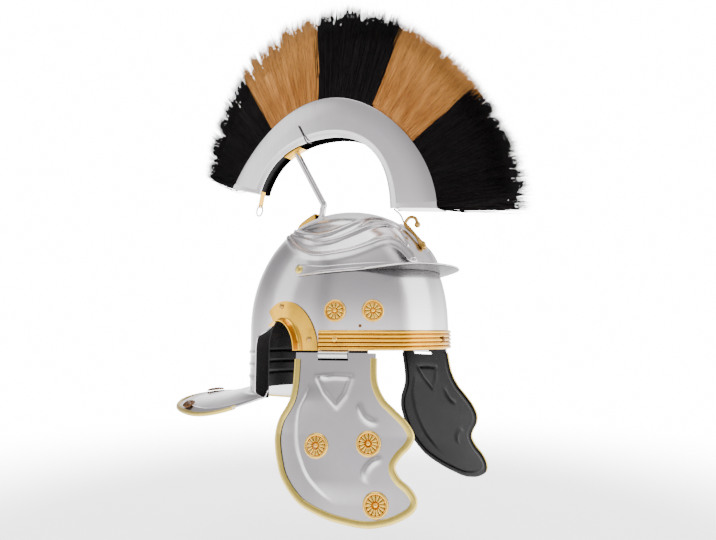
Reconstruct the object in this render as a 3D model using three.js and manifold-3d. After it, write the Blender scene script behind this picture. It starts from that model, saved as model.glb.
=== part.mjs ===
// A legionary helmet of polished steel with brass fittings and a fore-and-aft crest.
// Millimetres, +Z up, the face looks along -Y and the wearer's left is +X.
// The shapes are worked out above and below the rim line of the brow band (its top edge), and the
// last group lowers them all, so that the origin is where the head touches the inside of the crown.
import * as THREE from 'three';
import { mergeVertices } from 'three/addons/utils/BufferGeometryUtils.js';
import Module from 'manifold-3d';

const wasm = await Module();
wasm.setup();

// Clearances
const SEAT = 0.3;
const FACET = 0.35;
const SUNK = 0.5;

// Bowl and nape
const BOWL_HALF_WIDTH = 95;
const BOWL_HALF_LENGTH = 109;
const CROWN_HEIGHT = 126;
const STEEL = 1.4;
const ROUNDNESS_FRONT = 2.3;
const ROUNDNESS_REAR = 2.05;
const RIM_DROP = 18.7;
const NAPE_DROP = 65;
const NAPE_RIB_FIRST = 23;
const NAPE_RIB_PITCH = 12.5;
const NAPE_RIB_COUNT = 3;
const NAPE_RIB_RISE = 2;

// Embossed eyebrows: their crest lines from the front to the rear, as angles and shares of the crown's height
const BROW_RIDGE_RISE = 2.6;
const BROW_RIDGE_HALF = 3.4;
const BROW_LOW = [
  { around: 16.5, height: 0.533 },
  { around: 18.6, height: 0.583 },
  { around: 22.7, height: 0.646 },
  { around: 29, height: 0.682 },
  { around: 38, height: 0.669 },
  { around: 48, height: 0.626 },
  { around: 57, height: 0.587 },
  { around: 66.5, height: 0.563 },
  { around: 76.5, height: 0.552 },
  { around: 84, height: 0.567 },
  { around: 94, height: 0.617 },
  { around: 107.5, height: 0.7 },
  { around: 116, height: 0.75 },
];
const BROW_MIDDLE = [
  { around: 16.5, height: 0.66 },
  { around: 18.2, height: 0.777 },
  { around: 22.6, height: 0.82 },
  { around: 34.7, height: 0.816 },
  { around: 46, height: 0.787 },
  { around: 56.6, height: 0.736 },
  { around: 65.5, height: 0.695 },
  { around: 74, height: 0.672 },
  { around: 83.6, height: 0.675 },
  { around: 97, height: 0.721 },
  { around: 117, height: 0.782 },
];
const BROW_TOP = [
  { around: 11.4, height: 0.799 },
  { around: 14.5, height: 0.849 },
  { around: 22, height: 0.882 },
  { around: 38, height: 0.879 },
  { around: 53, height: 0.833 },
  { around: 64, height: 0.781 },
  { around: 73.3, height: 0.742 },
  { around: 83, height: 0.728 },
  { around: 95.6, height: 0.748 },
  { around: 118, height: 0.815 },
];

// Almond-shaped hollow above the eyebrows, from their top line up to this line
const HOLLOW_DEPTH = 0.9;
const HOLLOW_SOFT = 4;
const HOLLOW_TOP = [
  { around: 40, height: 0.868 },
  { around: 58.7, height: 0.872 },
  { around: 72, height: 0.877 },
  { around: 93, height: 0.866 },
  { around: 107.6, height: 0.848 },
  { around: 124, height: 0.836 },
];

// Ear openings
const EAR_CENTRE = 9;
const EAR_HALF = 22.5;
const EAR_TOP = 13;
const EAR_GUARD_WIDTH = 16;
const EAR_GUARD_REAR_WIDTH = 12;
const EAR_LIP = 9;
const NAPE_FLANGE = 11;
const BRASS = 1;

// Neck guard
const GUARD_FRONT = EAR_CENTRE + EAR_HALF;
const GUARD_OVERHANG = 9;
const GUARD_HALF_WIDTH = BOWL_HALF_WIDTH + GUARD_OVERHANG;
const GUARD_REACH = 103;
const GUARD_SQUARENESS = 2.7;
const GUARD_REAR_DROP = 14;
const GUARD_CORNER_DROP = 18;
const GUARD_RIDGE_RISE = 1.6;
const GUARD_RIDGE_FROM_EDGE = 14;
const GUARD_RIDGE_HALF = 3;
const GUARD_BEND = 5;
const GUARD_TRIM = 4;
const LEAF_LENGTH = 20;
const LEAF_WIDTH = 8;
const LEAF_RISE = 1.6;
const LEAF_TURNS = [{ name: 'right', turn: 0.28 }, { name: 'rear', turn: 0.5 }, { name: 'left', turn: 0.72 }];

// Places along the neck guard's edge where its sections stand, from corner to corner
const GUARD_TURNS = [0.035, 0.09, 0.15, 0.22, 0.29, 0.36, 0.43, 0.5, 0.57, 0.64, 0.71, 0.78, 0.85, 0.91, 0.965];

// Peak
const PEAK_HEIGHT = 50.5;
const PEAK_SLOPE = 0.07;
const PEAK_LEG = 6.5;
const PEAK_LUG = 12;
const PEAK_REACH = 21;
const PEAK_LIFT = 2.5;
const PEAK_END_REACH = 2.5;
const PEAK_FLANGE_ANGLE = 58;
const PEAK_FLANGE_FADE = 38;
const PEAK_RIVET_RADIUS = 4.2;
const PEAK_RIVET_ANGLE = 88;
const PEAK_HALF_ANGLE = 92;

// Brow band
const BAND_HALF_ANGLE = 74;
const BAND_RIBS = 5;
const BAND_RIB_RISE = 1.5;

// Rosettes and rivets
const BOWL_ROSETTE_RADIUS = 10.4;
const BOWL_ROSETTE_HEIGHT = 17.5;
const BOWL_ROSETTES = [{ name: 'rear', around: 66 }, { name: 'front', around: 47 }];
const CHEEK_ROSETTE_RADIUS = 11;
const ROSETTE_RISE = 2.2;
const PETALS = 10;
const RIVET_RADIUS = 2.8;
const NAIL_RADIUS = 1.5;
const NAIL = { around: 53.5, height: 3.8 };
const BAND_RIVETS = [
  { name: 'right', around: -65.9 },
  { name: 'front', around: 0 },
  { name: 'left', around: 65.9 },
];
const BAND_RIVET_HEIGHT = -8.5;
const GUARD_RIVETS = [
  { name: 'top', forward: 11.8, height: 22.3 },
  { name: 'foot', forward: -20.8, height: -8.2 },
];

// Cheek pieces, in their own plane: along runs to the front, down from the hinge
const CHEEK_LENGTH = 142;
const CHEEK_WIDTH = 124.5;
const CHEEK_SPLAY = 21;
const CHEEK_FLARE = 12;
const CHEEK_DISH = 5;
const CHEEK_OFFSET = 93.4;
const CHEEK_SETBACK = -33;
const CHEEK_STEEL = 1.3;
const BINDING = 4.6;
const CHEEK_SECTIONS = [
  { down: 0, rear: -0.183, front: 0.411 },
  { down: 0.175, rear: -0.183, front: 0.42 },
  { down: 0.28, rear: -0.197, front: 0.473 },
  { down: 0.342, rear: -0.227, front: 0.545 },
  { down: 0.415, rear: -0.275, front: 0.632 },
  { down: 0.488, rear: -0.296, front: 0.679 },
  { down: 0.55, rear: -0.297, front: 0.655 },
  { down: 0.613, rear: -0.284, front: 0.591 },
  { down: 0.675, rear: -0.265, front: 0.557 },
  { down: 0.738, rear: -0.24, front: 0.593 },
  { down: 0.79, rear: -0.204, front: 0.665 },
  { down: 0.853, rear: -0.143, front: 0.706 },
  { down: 0.915, rear: -0.051, front: 0.675 },
  { down: 0.972, rear: 0.123, front: 0.561 },
  { down: 1, rear: 0.3, front: 0.44 },
];
const CHEEK_CREASE = [
  { down: 0, along: -0.13 },
  { down: 0.28, along: -0.085 },
  { down: 0.363, along: -0.125 },
  { down: 0.571, along: -0.118 },
  { down: 0.738, along: -0.03 },
  { down: 0.863, along: 0.13 },
  { down: 1, along: 0.35 },
];
const CHEEK_CREASE_RISE = 1.6;
const CHEEK_CREASE_FADE = 12;
const CHEEK_ROSETTES = [
  { name: 'rear', along: 0.013, down: 0.568 },
  { name: 'front', along: 0.379, down: 0.544 },
  { name: 'chin', along: 0.441, down: 0.885 },
];
const CHEEK_TRIANGLE = [
  { along: -0.011, down: 0.165 },
  { along: 0.246, down: 0.149 },
  { along: 0.142, down: 0.358 },
];
const CHEEK_SHORT_RIDGES = [
  [{ along: 0.318, down: 0.3 }, { along: 0.327, down: 0.359 }, { along: 0.373, down: 0.435 }],
  [{ along: 0.486, down: 0.631 }, { along: 0.391, down: 0.68 }, { along: 0.372, down: 0.736 }],
];
const EMBOSS_RISE = 1.1;
const EMBOSS_HALF = 1.8;

// Cheek hinges
const HINGE_WIDTH = 27;
const HINGE_ALONG = 12;
const HINGE_BAR = 3;
const HINGE_SLOT = 4;
const HINGE_SIDE_PLAY = 0.7;
const HINGE_BORE = 2.1;
const HINGE_STRAP = 1;
const HINGE_LOOP = HINGE_BORE + HINGE_STRAP;
const HINGE_LEAF = 15;

// Crest box and plume: the arcs' centres lie below the crown's height
const CREST_THICKNESS = 22;
const CREST_CENTRE = 35;
const CREST_INNER_RADIUS = 95.8;
const CREST_INNER_DROP = 4.3;
const CREST_OUTER_RADIUS = 144.6;
const CREST_OUTER_DROP = 12.8;
const CREST_SHOULDER = 2.6;
const CREST_REAR_ANGLE = 25.5;
const CREST_FRONT_ANGLE = 178;
const CREST_BORDER = 8;
const CREST_BEVEL = 1.8;
const CREST_FLOOR = 5;
const CREST_SHEET = 1.3;
const PLUME_BANDS = [
  { name: 'plume_1_black', upTo: 60.7, colour: 0x181416 },
  { name: 'plume_2_tan', upTo: 89.6, colour: 0xb98245 },
  { name: 'plume_3_black', upTo: 119.7, colour: 0x181416 },
  { name: 'plume_4_tan', upTo: 147.4, colour: 0xb98245 },
  { name: 'plume_5_black', upTo: CREST_FRONT_ANGLE, colour: 0x181416 },
];
const HAIR_REACH = 110;
const HAIR_TIPS = [
  { angle: 24, reach: 0.4, lean: -3 },
  { angle: 35, reach: 0.62, lean: -2 },
  { angle: 48, reach: 0.8, lean: 0 },
  { angle: 62, reach: 0.96, lean: 1 },
  { angle: 78, reach: 1, lean: 1 },
  { angle: 95, reach: 0.97, lean: 0 },
  { angle: 112, reach: 0.92, lean: 0 },
  { angle: 130, reach: 0.84, lean: 1 },
  { angle: 150, reach: 0.8, lean: 2 },
  { angle: 165, reach: 0.82, lean: 3 },
  { angle: 178, reach: 0.8, lean: 4 },
];
const HAIR_BASE_HALF = 9;
const HAIR_TIP_HALF = 21;
const LOCKS_PER_BAND = 4;
const LOCK_ROOT = 1.5;

// Crest rod, bracket and keeper
const ROD_RADIUS = 3;
const ROD_TOP_ANGLE = 66;
const ROD_KNEE_BACK = 33;
const ROD_KNEE_RISE = 15;
const BRACKET_WIDTH = 14;
const BRACKET_SHEET = 1.5;
const BRACKET_REAR = 8;
const BRACKET_FRONT = 7;
const KEEPER_FRONT = 41;
const KEEPER_BACK = 63;
const KEEPER_FOOT = 84;
const KEEPER_FOOT_LENGTH = 9;
const KEEPER_WIDTH = 12;
const KEEPER_RISE_FRONT = 11.5;
const KEEPER_RISE_BACK = 14;
const KEEPER_SHEET = 1.4;
const ROD_FOOT_END = 57;

// Front hook, rear tab and wires
const HOOK_DROP = 41;
const HOOK_STEM = 20;
const HOOK_FOOT = 3;
const HOOK_RADIUS = 1.7;
const HOOK_BALL = 2.5;
const HOOK_RISE = 8;
const HOOK_REACH = 13;
const HOOK_CURL = [
  { forward: -0.02, up: 0.5 },
  { forward: 0.35, up: 1 },
  { forward: 0.82, up: 0.8 },
  { forward: 1, up: 0.05 },
];
const TAB_WIDTH = 7;
const TAB_LENGTH = 20;
const TAB_HOLE = 2.6;
const TAB_TILT = 14;
const TIE_WIRE = 0.6;
const TIE_HOLE_ANGLE = 77.5;
const TIE_END_ANGLE = 84;
const RING_WIRE = 0.8;
const RING_HALF_WIDTH = 4.6;
const RING_HALF_HEIGHT = 6.5;

const degrees = THREE.MathUtils.degToRad;
const mix = THREE.MathUtils.lerp;
const clamp = THREE.MathUtils.clamp;
const V3 = THREE.Vector3;

const MATERIALS = {
  steel: { color: 0xc4c0c2, roughness: 0.22, metalness: 1 },
  brass: { color: 0xc99a45, roughness: 0.28, metalness: 1 },
  paleBrass: { color: 0xc9b77c, roughness: 0.32, metalness: 1 },
  darkBrass: { color: 0x6b4b2c, roughness: 0.45, metalness: 1 },
  blackWire: { color: 0x1c1a1a, roughness: 0.6, metalness: 0.4 },
  hair: { color: 0x181416, roughness: 0.7, metalness: 0 },
};

// Plain helpers

function span(from, to, steps) {
  return Array.from({ length: steps + 1 }, (_, k) => mix(from, to, k / steps));
}

// Angles that share out a full turn, in radians
function turns(count) {
  return Array.from({ length: count }, (_, k) => 2 * Math.PI * k / count);
}

function readTable(table, key, value, at) {
  const last = table[table.length - 1];
  if (at <= table[0][key]) return table[0][value];
  if (at >= last[key]) return last[value];
  const next = table.findIndex((row) => row[key] > at);
  const [a, b] = [table[next - 1], table[next]];
  return mix(a[value], b[value], (at - a[key]) / (b[key] - a[key]));
}

function meshGeometry(points, triangles) {
  const geometry = new THREE.BufferGeometry();
  geometry.setAttribute('position', new THREE.Float32BufferAttribute(points.flatMap((p) => p.toArray()), 3));
  let volume = 0;
  for (const [a, b, c] of triangles) {
    volume += points[a].dot(new V3().crossVectors(points[b], points[c]));
  }
  const facing = volume < 0 ? triangles.map(([a, b, c]) => [a, c, b]) : triangles;
  geometry.setIndex(facing.flat());
  return geometry;
}

// A solid swept through stations: place(point of the outline, station) gives each corner.
function sweep(outline, stations, place, loop = false) {
  const count = outline.length;
  const points = stations.flatMap((station) => outline.map((corner) => place(corner, station)));
  const triangles = [];
  const steps = loop ? stations.length : stations.length - 1;
  for (let s = 0; s < steps; s++) {
    const here = s * count;
    const there = ((s + 1) % stations.length) * count;
    for (let k = 0; k < count; k++) {
      const next = (k + 1) % count;
      triangles.push([here + k, here + next, there + next], [here + k, there + next, there + k]);
    }
  }
  if (!loop) {
    const end = (stations.length - 1) * count;
    const turn = Math.sign(THREE.ShapeUtils.area(outline));
    for (const corners of THREE.ShapeUtils.triangulateShape(outline, [])) {
      const same = Math.sign(THREE.ShapeUtils.area(corners.map((k) => outline[k]))) === turn;
      const [a, b, c] = same ? corners : [corners[0], corners[2], corners[1]];
      triangles.push([a, c, b], [end + a, end + b, end + c]);
    }
  }
  return meshGeometry(points, triangles);
}

// A plate between two faces: face(column, row, side) with side 0 inside and 1 outside.
function plate(columns, rows, face) {
  const wide = columns.length;
  const points = [0, 1].flatMap((side) => rows.flatMap((row) => columns.map((column) => face(column, row, side))));
  const at = (side, r, c) => (side * rows.length + r) * wide + c;
  const triangles = [];
  const quad = (a, b, c, d) => triangles.push([a, b, c], [a, c, d]);
  for (let r = 0; r < rows.length - 1; r++) {
    for (let c = 0; c < wide - 1; c++) {
      quad(at(0, r, c), at(0, r + 1, c), at(0, r + 1, c + 1), at(0, r, c + 1));
      quad(at(1, r, c), at(1, r, c + 1), at(1, r + 1, c + 1), at(1, r + 1, c));
    }
    quad(at(0, r, 0), at(1, r, 0), at(1, r + 1, 0), at(0, r + 1, 0));
    quad(at(0, r, wide - 1), at(0, r + 1, wide - 1), at(1, r + 1, wide - 1), at(1, r, wide - 1));
  }
  const last = rows.length - 1;
  for (let c = 0; c < wide - 1; c++) {
    quad(at(0, 0, c), at(0, 0, c + 1), at(1, 0, c + 1), at(1, 0, c));
    quad(at(0, last, c), at(1, last, c), at(1, last, c + 1), at(0, last, c + 1));
  }
  return meshGeometry(points, triangles);
}

function tube(points, radius, sides = 8, steps = 12) {
  const circle = new THREE.Shape(Array.from({ length: sides }, (_, k) => {
    const turn = (k / sides) * Math.PI * 2;
    return new THREE.Vector2(Math.cos(turn) * radius, Math.sin(turn) * radius);
  }));
  const path = new THREE.CatmullRomCurve3(points, false, 'centripetal');
  return new THREE.ExtrudeGeometry(circle, { steps, bevelEnabled: false, extrudePath: path });
}

function toSolid(geometry) {
  const bare = geometry.clone();
  bare.deleteAttribute('normal');
  bare.deleteAttribute('uv');
  const merged = mergeVertices(bare, 1e-4);
  const mesh = new wasm.Mesh({
    numProp: 3,
    vertProperties: merged.attributes.position.array,
    triVerts: new Uint32Array(merged.index.array),
  });
  return new wasm.Manifold(mesh);
}

function toGeometry(solid) {
  const { vertProperties, triVerts } = solid.getMesh();
  const geometry = new THREE.BufferGeometry();
  geometry.setAttribute('position', new THREE.BufferAttribute(vertProperties, 3));
  geometry.setIndex(new THREE.BufferAttribute(triVerts, 1));
  return geometry;
}

function join(...geometries) {
  return toGeometry(geometries.map(toSolid).reduce((whole, next) => whole.add(next)));
}

function cut(geometry, ...tools) {
  return toGeometry(tools.map(toSolid).reduce((whole, tool) => whole.subtract(tool), toSolid(geometry)));
}

function mirrored(geometry) {
  const copy = geometry.clone();
  copy.scale(-1, 1, 1);
  const index = copy.index.array;
  for (let k = 0; k < index.length; k += 3) {
    [index[k + 1], index[k + 2]] = [index[k + 2], index[k + 1]];
  }
  return copy;
}

// Bowl surface: around is the angle from the front in degrees, positive to the wearer's left

function roundness(around) {
  return mix(ROUNDNESS_REAR, ROUNDNESS_FRONT, 0.5 + 0.5 * Math.cos(degrees(around)));
}

function bowlPoint(around, height, out = 0) {
  const power = roundness(around);
  const share = clamp(height / CROWN_HEIGHT, 0, 1);
  const size = (1 - share ** power) ** (1 / power);
  const turn = degrees(around);
  const point = new V3(BOWL_HALF_WIDTH * size * Math.sin(turn), -BOWL_HALF_LENGTH * size * Math.cos(turn), height);
  const normal = new V3(
    size ** (power - 1) * Math.sin(turn) / BOWL_HALF_WIDTH,
    -(size ** (power - 1)) * Math.cos(turn) / BOWL_HALF_LENGTH,
    share ** (power - 1) / CROWN_HEIGHT,
  ).normalize();
  return point.addScaledVector(normal, out);
}

function bowlNormal(around, height) {
  return bowlPoint(around, height, 1).sub(bowlPoint(around, height, 0));
}

// The angle and height on the bowl's side above a point of the side view
function aroundAt(y, height) {
  const power = roundness(90);
  const size = (1 - clamp(height / CROWN_HEIGHT, 0, 1) ** power) ** (1 / power);
  return THREE.MathUtils.radToDeg(Math.acos(clamp(-y / (BOWL_HALF_LENGTH * size), -1, 1)));
}

const browLines = [BROW_LOW, BROW_MIDDLE, BROW_TOP].map((line) => (
  line.map(({ around, height }) => bowlPoint(around, height * CROWN_HEIGHT))));

// Height of the embossed eyebrows and the hollow above them over the plain bowl
function browRelief(around, height) {
  const side = Math.abs(around);
  const here = bowlPoint(side, height);
  let rise = 0;
  for (const places of browLines) {
    let distance = Infinity;
    for (let k = 0; k < places.length - 1; k++) {
      const line = new THREE.Line3(places[k], places[k + 1]);
      distance = Math.min(distance, line.closestPointToPoint(here, true, new V3()).distanceTo(here));
    }
    rise += BROW_RIDGE_RISE * Math.exp(-((distance / BROW_RIDGE_HALF) ** 2));
  }
  const floor = readTable(BROW_TOP, 'around', 'height', side) * CROWN_HEIGHT;
  const ceiling = readTable(HOLLOW_TOP, 'around', 'height', side) * CROWN_HEIGHT;
  const inside = Math.min(height - floor, ceiling - height);
  rise -= HOLLOW_DEPTH * clamp(inside / HOLLOW_SOFT, 0, 1);
  const overPeak = clamp((height - peakBase(around) - PEAK_LEG - 1) / 3, 0, 1);
  return rise * overPeak;
}

// Height of the peak's lower line on the bowl, which rises towards the front
function peakBase(around) {
  return PEAK_HEIGHT + PEAK_SLOPE * BOWL_HALF_LENGTH * Math.cos(degrees(around));
}

function napeRelief(around, height) {
  if (Math.abs(around) < aroundAt(EAR_CENTRE + EAR_HALF, 0)) return 0;
  let rise = 0;
  for (let rib = 0; rib < NAPE_RIB_COUNT; rib++) {
    const off = (height + NAPE_RIB_FIRST + rib * NAPE_RIB_PITCH) / (NAPE_RIB_PITCH * 0.25);
    rise += NAPE_RIB_RISE * Math.exp(-off * off);
  }
  return rise;
}

function bowlShell() {
  const half = [0, 8, 11, 14, 17, 20, 26, 33, 41, 50, 59, 68, 78, 88, 98, 109, 121, 135, 150, 165];
  const columns = [...half, 180, ...half.slice(1).reverse().map((a) => -a)];
  const dome = [...span(0.98, 0.91, 2), ...span(0.88, 0.52, 12), ...span(0.4, 0, 2)].map((s) => s * CROWN_HEIGHT);
  const ribs = span(-0.5, NAPE_RIB_COUNT - 0.5, NAPE_RIB_COUNT * 2);
  const ribRows = ribs.map((rib) => -NAPE_RIB_FIRST - rib * NAPE_RIB_PITCH);
  const outerRows = [...dome, ...ribRows, -NAPE_DROP];
  const innerRows = [...[0.95, 0.82, 0.6, 0.3, 0].map((s) => s * CROWN_HEIGHT), -NAPE_DROP];
  const points = [new V3(0, 0, CROWN_HEIGHT), new V3(0, 0, CROWN_HEIGHT - STEEL)];
  for (const height of outerRows) {
    for (const around of columns) {
      const relief = height > 0 ? browRelief(around, height) : napeRelief(around, height);
      points.push(bowlPoint(around, height, relief));
    }
  }
  for (const height of innerRows) {
    for (const around of columns) {
      points.push(bowlPoint(around, height, -STEEL));
    }
  }
  const wide = columns.length;
  const outer = (r, c) => 2 + r * wide + (c % wide);
  const inner = (r, c) => 2 + (outerRows.length + r) * wide + (c % wide);
  const triangles = [];
  for (let c = 0; c < wide; c++) {
    triangles.push([0, outer(0, c), outer(0, c + 1)], [1, inner(0, c + 1), inner(0, c)]);
    for (let r = 0; r < outerRows.length - 1; r++) {
      triangles.push([outer(r, c), outer(r + 1, c), outer(r + 1, c + 1)]);
      triangles.push([outer(r, c), outer(r + 1, c + 1), outer(r, c + 1)]);
    }
    for (let r = 0; r < innerRows.length - 1; r++) {
      triangles.push([inner(r, c), inner(r + 1, c + 1), inner(r + 1, c)]);
      triangles.push([inner(r, c), inner(r, c + 1), inner(r + 1, c + 1)]);
    }
    const [o, i] = [outerRows.length - 1, innerRows.length - 1];
    triangles.push([outer(o, c), inner(i, c), inner(i, c + 1)]);
    triangles.push([outer(o, c), inner(i, c + 1), outer(o, c + 1)]);
  }
  return meshGeometry(points, triangles);
}

// Everything below the brow rim and the two ear arches, cut straight across
function faceCutter() {
  const far = BOWL_HALF_LENGTH * 2;
  const shape = new THREE.Shape();
  shape.moveTo(-far, -RIM_DROP);
  shape.lineTo(EAR_CENTRE - EAR_HALF, -RIM_DROP);
  shape.absellipse(EAR_CENTRE, -RIM_DROP, EAR_HALF, EAR_TOP + RIM_DROP, Math.PI, 0, true);
  shape.lineTo(EAR_CENTRE + EAR_HALF, -NAPE_DROP * 2);
  shape.lineTo(-far, -NAPE_DROP * 2);
  const geometry = new THREE.ExtrudeGeometry(shape, { depth: far * 2, bevelEnabled: false, curveSegments: 12 });
  geometry.translate(0, 0, -far);
  geometry.applyMatrix4(new THREE.Matrix4().makeBasis(new V3(0, 1, 0), new V3(0, 0, 1), new V3(1, 0, 0)));
  return geometry;
}

// Outer edge of the neck guard: turn 0 at the wearer's right front corner, 1 at the left one
function guardEdge(turn) {
  const angle = mix(Math.PI, 0, turn);
  const power = 2 / GUARD_SQUARENESS;
  const reach = BOWL_HALF_LENGTH + GUARD_REACH - GUARD_FRONT;
  const x = Math.sign(Math.cos(angle)) * Math.abs(Math.cos(angle)) ** power * GUARD_HALF_WIDTH;
  const y = GUARD_FRONT + Math.sin(angle) ** power * reach;
  const back = (y - GUARD_FRONT) / reach;
  const side = Math.abs(x) / GUARD_HALF_WIDTH;
  const corner = GUARD_CORNER_DROP * side ** 2 * Math.sin(Math.min(back * 1.6, 1) * Math.PI / 2);
  return new V3(x, y, -NAPE_DROP - GUARD_REAR_DROP * back - corner);
}

function guardRoot(turn) {
  const start = 180 - Math.acos(clamp(GUARD_FRONT / BOWL_HALF_LENGTH, -1, 1)) * 180 / Math.PI;
  const around = mix(-start, -360 + start, turn);
  return bowlPoint(around, -NAPE_DROP, -STEEL / 2);
}

function guardPoint(turn, share) {
  const root = guardRoot(turn);
  const edge = guardEdge(turn);
  const point = root.clone().lerp(edge, share);
  const bend = (1 - share) ** 4;
  point.z = mix(root.z, edge.z, share) + GUARD_BEND * bend * Math.min(share * 8, 1);
  const inFromEdge = (1 - share) * root.distanceTo(edge);
  const off = (inFromEdge - GUARD_RIDGE_FROM_EDGE) / GUARD_RIDGE_HALF;
  point.z += GUARD_RIDGE_RISE * Math.exp(-off * off);
  return point;
}

// Share across the guard of a line at a distance in from its edge, kept off the root at the narrow corners
function shareFromEdge(turn, distance) {
  const width = guardRoot(turn).distanceTo(guardEdge(turn));
  return Math.max(1 - distance / width, 1 - 0.35 * distance / GUARD_RIDGE_FROM_EDGE);
}

function neckGuard() {
  const ridge = [1.35, 1, 0.65].map((part) => ({ fromEdge: part * GUARD_RIDGE_FROM_EDGE }));
  const rows = [{ share: 0 }, { share: 0.08 }, { share: 0.25 }, { share: 0.5 }, ...ridge, { share: 1 }];
  return plate([0, ...GUARD_TURNS, 1], rows, (turn, { share, fromEdge }, side) => (
    guardPoint(turn, share ?? shareFromEdge(turn, fromEdge)).add(new V3(0, 0, (side - 0.5) * STEEL))));
}

// A small raised leaf with a middle rib, flat underneath
function leafOrnament() {
  const section = [[-1, 0], [1, 0], [0.75, 0.45], [0, 1], [-0.75, 0.45]].map(([x, z]) => new THREE.Vector2(x, z));
  const stations = [0.04, 0.2, 0.42, 0.6, 0.78, 0.96];
  return sweep(section, stations, ({ x: across, y: up }, share) => {
    const swell = Math.sin(Math.PI * share) ** 0.8;
    const rise = up * mix(0.4, 1, swell) * LEAF_RISE;
    return new V3((share - 0.5) * LEAF_LENGTH, across * swell * LEAF_WIDTH / 2, rise);
  });
}

// The place of a leaf along the neck guard's ridge, its length along the edge
function onGuard(turn) {
  const edge = guardPoint(turn, 1);
  const share = shareFromEdge(turn, GUARD_RIDGE_FROM_EDGE);
  const here = guardPoint(turn, share);
  const along = guardPoint(turn + 0.01, share).sub(guardPoint(turn - 0.01, share)).normalize();
  const inwards = here.clone().sub(edge).setZ(here.z - edge.z - GUARD_RIDGE_RISE).normalize();
  const normal = new V3().crossVectors(inwards, along).normalize();
  const square = new V3().crossVectors(normal, along);
  here.addScaledVector(normal, STEEL / 2 + SEAT);
  return new THREE.Matrix4().makeBasis(along, square, normal).setPosition(here);
}

// Flange turned outwards along the front edge of the nape, up into the ear arch
function napeFlange() {
  const upright = span(-NAPE_DROP, -RIM_DROP, 3).map((height) => ({ y: GUARD_FRONT, height }));
  const arch = span(0.12, 0.62, 5).map((share) => {
    const turn = share * Math.PI / 2;
    const height = -RIM_DROP + (EAR_TOP + RIM_DROP) * Math.sin(turn);
    return { y: EAR_CENTRE + EAR_HALF * Math.cos(turn), height };
  });
  const section = [[-STEEL, 0], [NAPE_FLANGE, 0], [NAPE_FLANGE, STEEL], [-STEEL, STEEL]];
  const outline = section.map(([out, back]) => new THREE.Vector2(out, back));
  return sweep(outline, [...upright, ...arch], ({ x: out, y: back }, { y, height }) => {
    const away = clamp((height + RIM_DROP) / (EAR_TOP + RIM_DROP), 0, 1);
    const wall = bowlPoint(-aroundAt(y, height), height);
    const outwards = bowlNormal(-aroundAt(y, height), height);
    const point = wall.addScaledVector(outwards, out);
    point.y += (back + Math.max(out, 0) * 0.3) * (1 - away * 0.6);
    point.z += back * away;
    return point;
  });
}

function steelBowl() {
  const flange = napeFlange();
  return join(cut(bowlShell(), faceCutter()), neckGuard(), flange, mirrored(flange));
}

// Trim folded over the neck guard's edge
function guardTrim() {
  const half = STEEL / 2 + SEAT + FACET / 3;
  const section = [
    [-GUARD_TRIM, half], [-GUARD_TRIM, half + BRASS], [SEAT + BRASS, half + BRASS],
    [SEAT + BRASS, -half - BRASS], [-GUARD_TRIM, -half - BRASS], [-GUARD_TRIM, -half], [SEAT, -half], [SEAT, half],
  ];
  const outline = section.map(([out, up]) => new THREE.Vector2(out, up));
  return sweep(outline, GUARD_TURNS, ({ x: out, y: up }, turn) => {
    const edge = guardPoint(turn, 1);
    const inwards = guardPoint(turn, 0.97).sub(edge).normalize();
    return edge.addScaledVector(inwards, -out).add(new V3(0, 0, up));
  });
}

// Pieces that lie on the bowl

// Peak: a leg against the bowl and a flange that stands out over the brow
function browPeak() {
  const reachAt = (around) => {
    const share = clamp((PEAK_FLANGE_ANGLE - Math.abs(around)) / PEAK_FLANGE_FADE, 0, 1);
    return mix(PEAK_END_REACH, PEAK_REACH, share * share * (3 - 2 * share));
  };
  const outline = [
    new THREE.Vector2(0, 0), new THREE.Vector2(1, 0), new THREE.Vector2(1, 1),
    new THREE.Vector2(0.5, 1), new THREE.Vector2(0.5, 2), new THREE.Vector2(0, 2),
  ];
  const stations = [-PEAK_HALF_ANGLE, ...span(3 - PEAK_HALF_ANGLE, PEAK_HALF_ANGLE - 3, 22), PEAK_HALF_ANGLE];
  return sweep(outline, stations, ({ x: out, y: up }, around) => {
    const toRivet = Math.abs(around) - PEAK_RIVET_ANGLE;
    const lug = clamp(1 + (toRivet + 4) / 14, 0, 1);
    const end = clamp((PEAK_HALF_ANGLE - Math.abs(around)) / 3, 0, 1);
    const leg = mix(PEAK_LEG, PEAK_LUG, lug) * mix(0.5, 1, end);
    const low = peakBase(around) + (PEAK_LUG * 0.25) * (1 - end);
    const height = low + (up === 2 ? leg : up * STEEL);
    const off = SEAT + FACET;
    if (out === 1) {
      const reach = reachAt(around);
      const point = bowlPoint(around, low, off + reach);
      return new V3(point.x, point.y, height + PEAK_LIFT * clamp(reach / PEAK_REACH, 0, 1));
    }
    return bowlPoint(around, height, off + (out === 0.5 ? STEEL : 0));
  });
}

function browBand() {
  const pitch = RIM_DROP / BAND_RIBS;
  const outer = [];
  for (let rib = 0; rib < BAND_RIBS; rib++) {
    outer.push(new THREE.Vector2(BRASS, -rib * pitch - 0.12 * pitch));
    outer.push(new THREE.Vector2(BRASS + BAND_RIB_RISE, -rib * pitch - 0.5 * pitch));
  }
  outer.push(new THREE.Vector2(BRASS, -RIM_DROP));
  const outline = [new THREE.Vector2(0, -RIM_DROP), new THREE.Vector2(0, 0), ...outer];
  const stations = span(-BAND_HALF_ANGLE, BAND_HALF_ANGLE, 17);
  return sweep(outline, stations, ({ x: out, y: height }, around) => bowlPoint(around, height, SEAT + FACET + out));
}

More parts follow.
